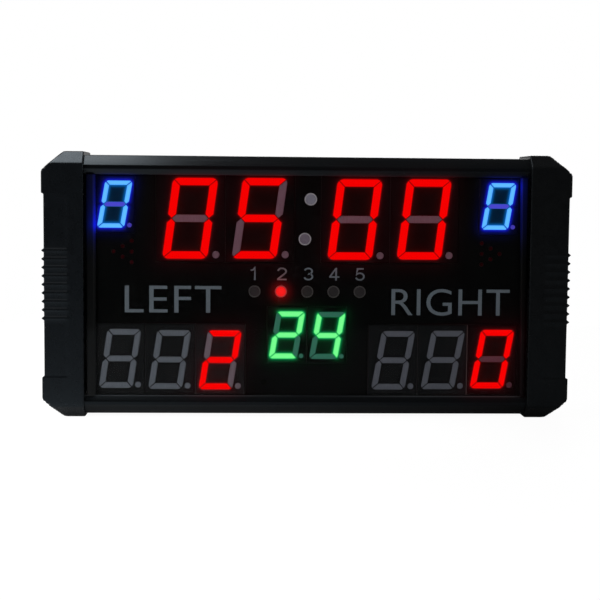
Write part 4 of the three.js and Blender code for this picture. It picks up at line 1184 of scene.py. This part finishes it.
def add_lettering(name, words, x, z, width, height, spacing):
    """Printed words on the face: a text made a mesh, then fitted to its width and height about a centre."""
    text = bpy.data.curves.new(name, "FONT")
    text.body = words
    text.offset = -0.004
    text.space_character = spacing
    text.extrude = 0.5
    text.resolution_u = 6
    holder = placed(name + "_text", text)
    mesh = final_mesh(holder)
    bpy.data.objects.remove(holder)
    raw = read(mesh.vertices, "co", np.float32, 3).astype(float)
    low, high = raw.min(0), raw.max(0)
    flat = (raw[:, :2] - (low + high)[:2] / 2) * (np.array((width, height)) / (high - low)[:2]) + (x, z)
    points = np.column_stack([flat[:, 0], FACE_FRONT - PRINT / 2 - raw[:, 2] * PRINT, flat[:, 1]])
    faces = [np.array([list(p.vertices)]) for p in mesh.polygons]
    bpy.data.meshes.remove(mesh)
    print_part = part(points, faces, light=light_at(points) * 1.2)
    piece(name, [print_part], [surface("printed_letters")], sharp=30)


def arc_of(x, z, across, up, first, last):
    """Points along an ellipse from one angle to another, in degrees."""
    angle = np.radians(np.linspace(first, last, 14))
    return np.column_stack([x + across * np.cos(angle), z + up * np.sin(angle)])


def stroke(path, width):
    """The outline of a pen line: the path moved half the width to either side, with mitred corners and
    square ends."""
    path = np.asarray(path, float)
    ahead = np.diff(path, axis=0)
    ahead = ahead / norms(ahead)[:, None]
    first, last = np.vstack([ahead[:1], ahead]), np.vstack([ahead, ahead[-1:]])
    side = first + last
    side = side / np.maximum((side * side).sum(1), 0.6)[:, None] * 2
    side = np.column_stack([-side[:, 1], side[:, 0]]) * width / 2
    return np.concatenate([path + side, (path - side)[::-1]])


# The numbers over the lamps as pen lines in a box one wide and 1.45 tall; the 4 is an outline with a hole
NUMBER_LINES = {
    "1": [(0.10, 1.11), (0.36, 1.18), (0.52, 1.44), (0.52, 0.0)],
    "2": np.concatenate([
        arc_of(0.60, 1.02, 0.40, 0.35, 172, -38), [(0.21, 0.15), (0.21, 0.085), (1.06, 0.085)],
    ]),
    "3": np.concatenate([arc_of(0.60, 1.05, 0.37, 0.32, 165, -78), arc_of(0.60, 0.42, 0.41, 0.34, 78, -165)]),
    "5": np.concatenate([
        [(0.87, 1.36), (0.26, 1.36), (0.15, 0.66)], arc_of(0.49, 0.47, 0.41, 0.39, 128, -160),
    ]),
}
FOUR = [(0.66, 0), (0.83, 0), (0.83, 0.32), (1.08, 0.32), (1.08, 0.48), (0.83, 0.48), (0.83, 1.45)]
FOUR += [(0.68, 1.45), (0.06, 0.48), (0.06, 0.32), (0.66, 0.32)]
FOUR_HOLE = [(0.66, 0.48), (0.25, 0.48), (0.66, 1.14)]
NUMBER_TALL = 16.0
NUMBER_WIDE = 12.7


def add_labels():
    add_lettering("left_label", "LEFT", -169.7, 150.6, 121.8, 33.9, 1.06)
    add_lettering("right_label", "RIGHT", 183.1, 148.4, 151.3, 34.1, 1.02)
    scale = np.array((NUMBER_WIDE, NUMBER_TALL / 1.45))
    for i in range(1, 6):
        lamp = f"period_lamp_{i}"
        x, _, z = node_middle(lamp)
        corner = np.array((x - NUMBER_WIDE / 2, z + 22.5 - NUMBER_TALL / 2))
        outline = np.array(FOUR) if i == 4 else stroke(NUMBER_LINES[str(i)], 0.17)
        holes = [np.array(FOUR_HOLE) * scale + corner] if i == 4 else []
        number = slab(outline * scale + corner, holes, FACE_FRONT - PRINT, FACE_FRONT)
        number["light"] = light_at(number["points"]) * 7.5
        # The number over the lit lamp takes a warmer print: painted red light from the lamp
        finish = surface("red_lit_number" if lamp == LIT_LAMP else "printed_letters")
        piece(f"lamp_number_{i}", [number], [finish])


# Back and inside

def softened(node, name, materials, body, width, choose=None):
    """A copy of a node with its doubled points merged and its edges bevelled by a width in millimetres."""
    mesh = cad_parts[node].data.copy()
    mesh.name = name
    merge_doubles(mesh, 0.01, True)
    dressed(mesh, materials, [choose(Vector(p.center) / MM) if choose else 0 for p in mesh.polygons], 35)
    made = placed(name, mesh)
    bevel = made.modifiers.new("edges", "BEVEL")
    bevel.width = width * MM
    bevel.segments = 2
    bevel.limit_method = "ANGLE"
    bevel.angle_limit = math.radians(35)
    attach(made, body)
    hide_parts(node)


INLET_X, INLET_FACE, SOCKET_Z, ROCKER_Z = 200.0, 40.8, 75.0, 110.0
ROCKER_PIVOT = (200.0, 36.8)
ROCKER_TILT = math.radians(12)


def on_pins(centre):
    """The pins' faces are metal: they stand inside the socket, off its walls and floor."""
    across, up = abs(centre.x - INLET_X), abs(centre.z - SOCKET_Z)
    return int(across < 8.4 and up < 4.2 and INLET_FACE - 16.99 < centre.y < INLET_FACE - 4)


def add_fittings():
    fitting = surface("black_fitting")
    inlet = [fitting, surface("tinned_brass")]
    softened("power_inlet", "inlet_moulding", inlet, "case", 0.35, on_pins)
    softened("fuse_drawer", "fuse_tray", [fitting], "drawer", 0.3)
    softened("power_rocker", "rocker_key", [surface("rocker")], "rocker", 0.45)
    for side in ("left", "right"):
        for level in ("upper", "lower"):
            node = f"{side}_cap_screw_{level}"
            softened(node, node + "_head", [surface("steel")], "case", 0.2)


def on_rocker(points):
    """Moves marks drawn about the rocker's pivot on to its tilted face, whose two halves fall to a shallow
    valley."""
    along, out = points[:, 0], points[:, 1]
    across = 3.6 + 1.2 * np.abs(along) / 9.6 + out
    x = ROCKER_PIVOT[0] + along * math.cos(ROCKER_TILT) - across * math.sin(ROCKER_TILT)
    y = ROCKER_PIVOT[1] + along * math.sin(ROCKER_TILT) + across * math.cos(ROCKER_TILT)
    return np.column_stack([x, y, points[:, 2] + ROCKER_Z])


def add_rocker_marks():
    """The bar and the ring that mark on and off, printed on the rocker's two halves."""
    bar = rounded(box_of(4.4, 5.3, -2.4, 2.4), 0.3, 3)
    ring, hole = (ring_of(-5.2, 0, radius, 40) for radius in (2.2, 1.5))
    for name, outline, holes in (("on_mark", bar, []), ("off_mark", ring, [hole])):
        mark = slab(outline, holes, 0.06, -0.04, 0.8)
        moved = part(on_rocker(mark["points"]), mark["faces"])
        piece(name, [moved], [surface("mark_white")], body="rocker")


def add_rear_screws():
    """Pan heads on the rear sheet: the dome 1.7 * sqrt(1 - (radius / 3.35)^2), with a cross sunk in it."""
    places = [(x + sx * wide, z + sz * tall) for x, z, wide, tall in ((-60, 150, 69, 44), (105, 88, 48, 31))
              for sx in (1, -1) for sz in (1, -1)]
    rows, sides, foot = 14, 48, 38.0
    radius = np.linspace(0, 3.0, rows)[:, None]
    numbers = np.arange(sides)
    plain = numbers / sides * 2 * np.pi
    parts = []
    for number, (x, z) in enumerate(places):
        angle = plain + number
        u, v = radius * np.cos(angle), radius * np.sin(angle)
        dome = 1.7 * np.sqrt(np.maximum(1 - (radius / 3.35) ** 2, 0)) * np.ones_like(u)
        cross = np.minimum(np.abs(np.cos(angle - number)) * radius, np.abs(np.sin(angle - number)) * radius)
        sunk = (1 - step_up(cross, 0.38, 0.16)) * (1 - step_up(radius, 1.75, 0.3))
        top = np.stack([x + u, foot + dome - 0.9 * sunk, z + v], -1)
        base = np.stack([x + u[-1], np.full(sides, foot), z + v[-1]], -1)
        points = np.concatenate([top.reshape(-1, 3), base, [(x, foot, z)]])
        floor = rows * sides
        fan = np.column_stack([np.full(sides, floor + sides), floor + np.roll(numbers, -1), floor + numbers])
        parts.append(part(points, [grid_faces(rows + 1, sides), fan]))
    merge_doubles(piece("rear_screws", parts, [surface("steel")], sharp=40).data, 0.01)


def dress_nodes():
    """The nodes that keep their own shape get their finish."""
    board = circuit_board()
    finishes = {
        "front_lens": clear_lens(),
        "display_board": board,
        "controller_board": board,
        "ribbon_cable": ribbon_vinyl(),
        "power_supply": surface("zinc_case"),
        "buzzer": surface("black_fitting"),
        "rear_panel": surface("rear_sheet"),
        "fuse": surface("steel"),
    }
    for node, material in finishes.items():
        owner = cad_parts[node]
        owner.data.materials.clear()
        owner.data.materials.append(material)


# Stage

def add_floor():
    """A pale floor in one sheet, level at the feet, that shades off to plain white where the camera looks
    at it. It ends like a table in front of and behind the board, so that the upright black faces mirror the
    dim room past it."""
    x, y = np.meshgrid(np.linspace(-2400, 2400, 25), np.linspace(-1150, 1150, 25))
    points = np.stack([x, y, np.zeros_like(x)], -1).reshape(-1, 3)
    mesh = bpy.data.meshes.new("floor")
    mesh.from_pydata((points * MM).tolist(), [], grid_faces(25, 25, False)[:, ::-1].tolist())
    finish = Finish("pale_floor", (0.42, 0.42, 0.42), 0.6, 0.1)
    # Painted light: the floor is paler to the left than to the right, most of all just in front of the board, a
    # pool of light that the caps' low bevels mirror
    apart = finish.node("SeparateXYZ", {0: finish.place()}).outputs
    near = finish.ranged(apart["Y"], 0, 1, -0.30, -0.13)
    side = finish.ranged(apart["X"], 0, 1, -0.34, 0.28)
    greys = ((0.39, 0.22), (0.95, 0.16))
    far_colour, near_colour = (finish.mixed(side, (a, a, a), (b, b, b)) for a, b in greys)
    finish.set("Base Color", finish.mixed(near, far_colour, near_colour))
    seen = finish.reckon("MULTIPLY", finish.node("LightPath").outputs["Is Camera Ray"], 0.9)
    finish.shows(seen, finish.shader, finish.node("Emission", {"Strength": 1.07}))
    mesh.materials.append(finish.material)
    placed("floor", mesh)


def add_world():
    """White where the camera or a clear sheet looks past the board, a dim room for gloss that grows to
    white behind the board and overhead, and an even pale light for the rest."""
    world = bpy.data.worlds.new("studio")
    bpy.context.scene.world = world
    sky = Shading(world)
    path = sky.node("LightPath").outputs
    apart = sky.node("SeparateXYZ", {0: sky.node("TexCoord").outputs["Generated"]}).outputs
    behind = sky.ranged(apart["Y"], 0.02, 0.45, -0.1, 0.6, "SMOOTHSTEP")
    over = sky.ranged(apart["Z"], 0.0, 0.05, 0.25, 1.0, "SMOOTHSTEP")
    room = sky.reckon("MAXIMUM", behind, over)
    plain = sky.reckon("MAXIMUM", path["Is Camera Ray"], path["Is Transmission Ray"])
    gloss = sky.node("Mix", {0: path["Is Glossy Ray"], 2: 1.0, 3: room}, data_type="FLOAT")
    white = sky.node("Mix", {0: plain, 2: gloss.outputs[0], 3: 1.0}, data_type="FLOAT")
    background = sky.node("Background", {"Color": (1, 1, 1, 1), "Strength": white.outputs[0]})
    sky.node("OutputWorld", {"Surface": background.outputs[0]})


def add_softbox(name, place, target, width, height, power):
    """A soft lamp at a place, turned to a target, both in metres."""
    lamp = bpy.data.lights.new(name, "AREA")
    lamp.shape = "RECTANGLE"
    lamp.size = width
    lamp.size_y = height
    lamp.energy = power
    aim = Vector(target) - Vector(place)
    facing = aim.to_track_quat("-Z", "Y").to_matrix().to_4x4()
    placed(name, lamp).matrix_world = Matrix.Translation(place) @ facing


def add_lights():
    centre = (0, 0, 0.17)
    add_softbox("key_softbox", (-2.1, -1.25, 1.0), centre, 1.1, 0.9, 34)
    add_softbox("fill_softbox", (2.1, -1.15, 0.7), centre, 1.1, 1.0, 9)
    add_softbox("rear_softbox", (0.5, 1.9, 1.2), centre, 1.4, 1.0, 22)
    add_softbox("top_softbox", (-0.67, 0.0, 1.6), (-0.67, 0, 0.3), 0.72, 0.6, 15)


def add_camera():
    """The photograph's viewing angle. The right-hand direction is level at first, then both it and up roll
    about the line of sight."""
    turn, tilt, roll = (math.radians(a) for a in (CAMERA_TURN, CAMERA_TILT, CAMERA_ROLL))
    forward = Vector((math.sin(turn) * math.cos(tilt), math.cos(turn) * math.cos(tilt), math.sin(tilt)))
    level = Vector((math.cos(turn), -math.sin(turn), 0))
    right = level * math.cos(roll) + level.cross(forward) * math.sin(roll)
    view = bpy.data.cameras.new("camera")
    view.sensor_width = SENSOR_WIDTH
    view.lens = CAMERA_FOCUS / PICTURE_WIDTH * SENSOR_WIDTH
    view.clip_end = 50
    matrix = Matrix((right, right.cross(forward), -forward)).transposed().to_4x4()
    matrix.translation = Vector(CAMERA_PLACE) * MM
    made = placed("camera", view)
    made.matrix_world = matrix
    bpy.context.scene.camera = made


bpy.context.scene.view_settings.view_transform = "Standard"
for add in (
    add_camera, add_world, add_lights, add_floor,
    add_rails, add_end_caps, add_trims,
    add_mask, add_digits, add_round_lamps, add_small_lamps, add_labels,
    add_fittings, add_rocker_marks, add_rear_screws, dress_nodes,
):
    add()

bpy.context.view_layer.update()
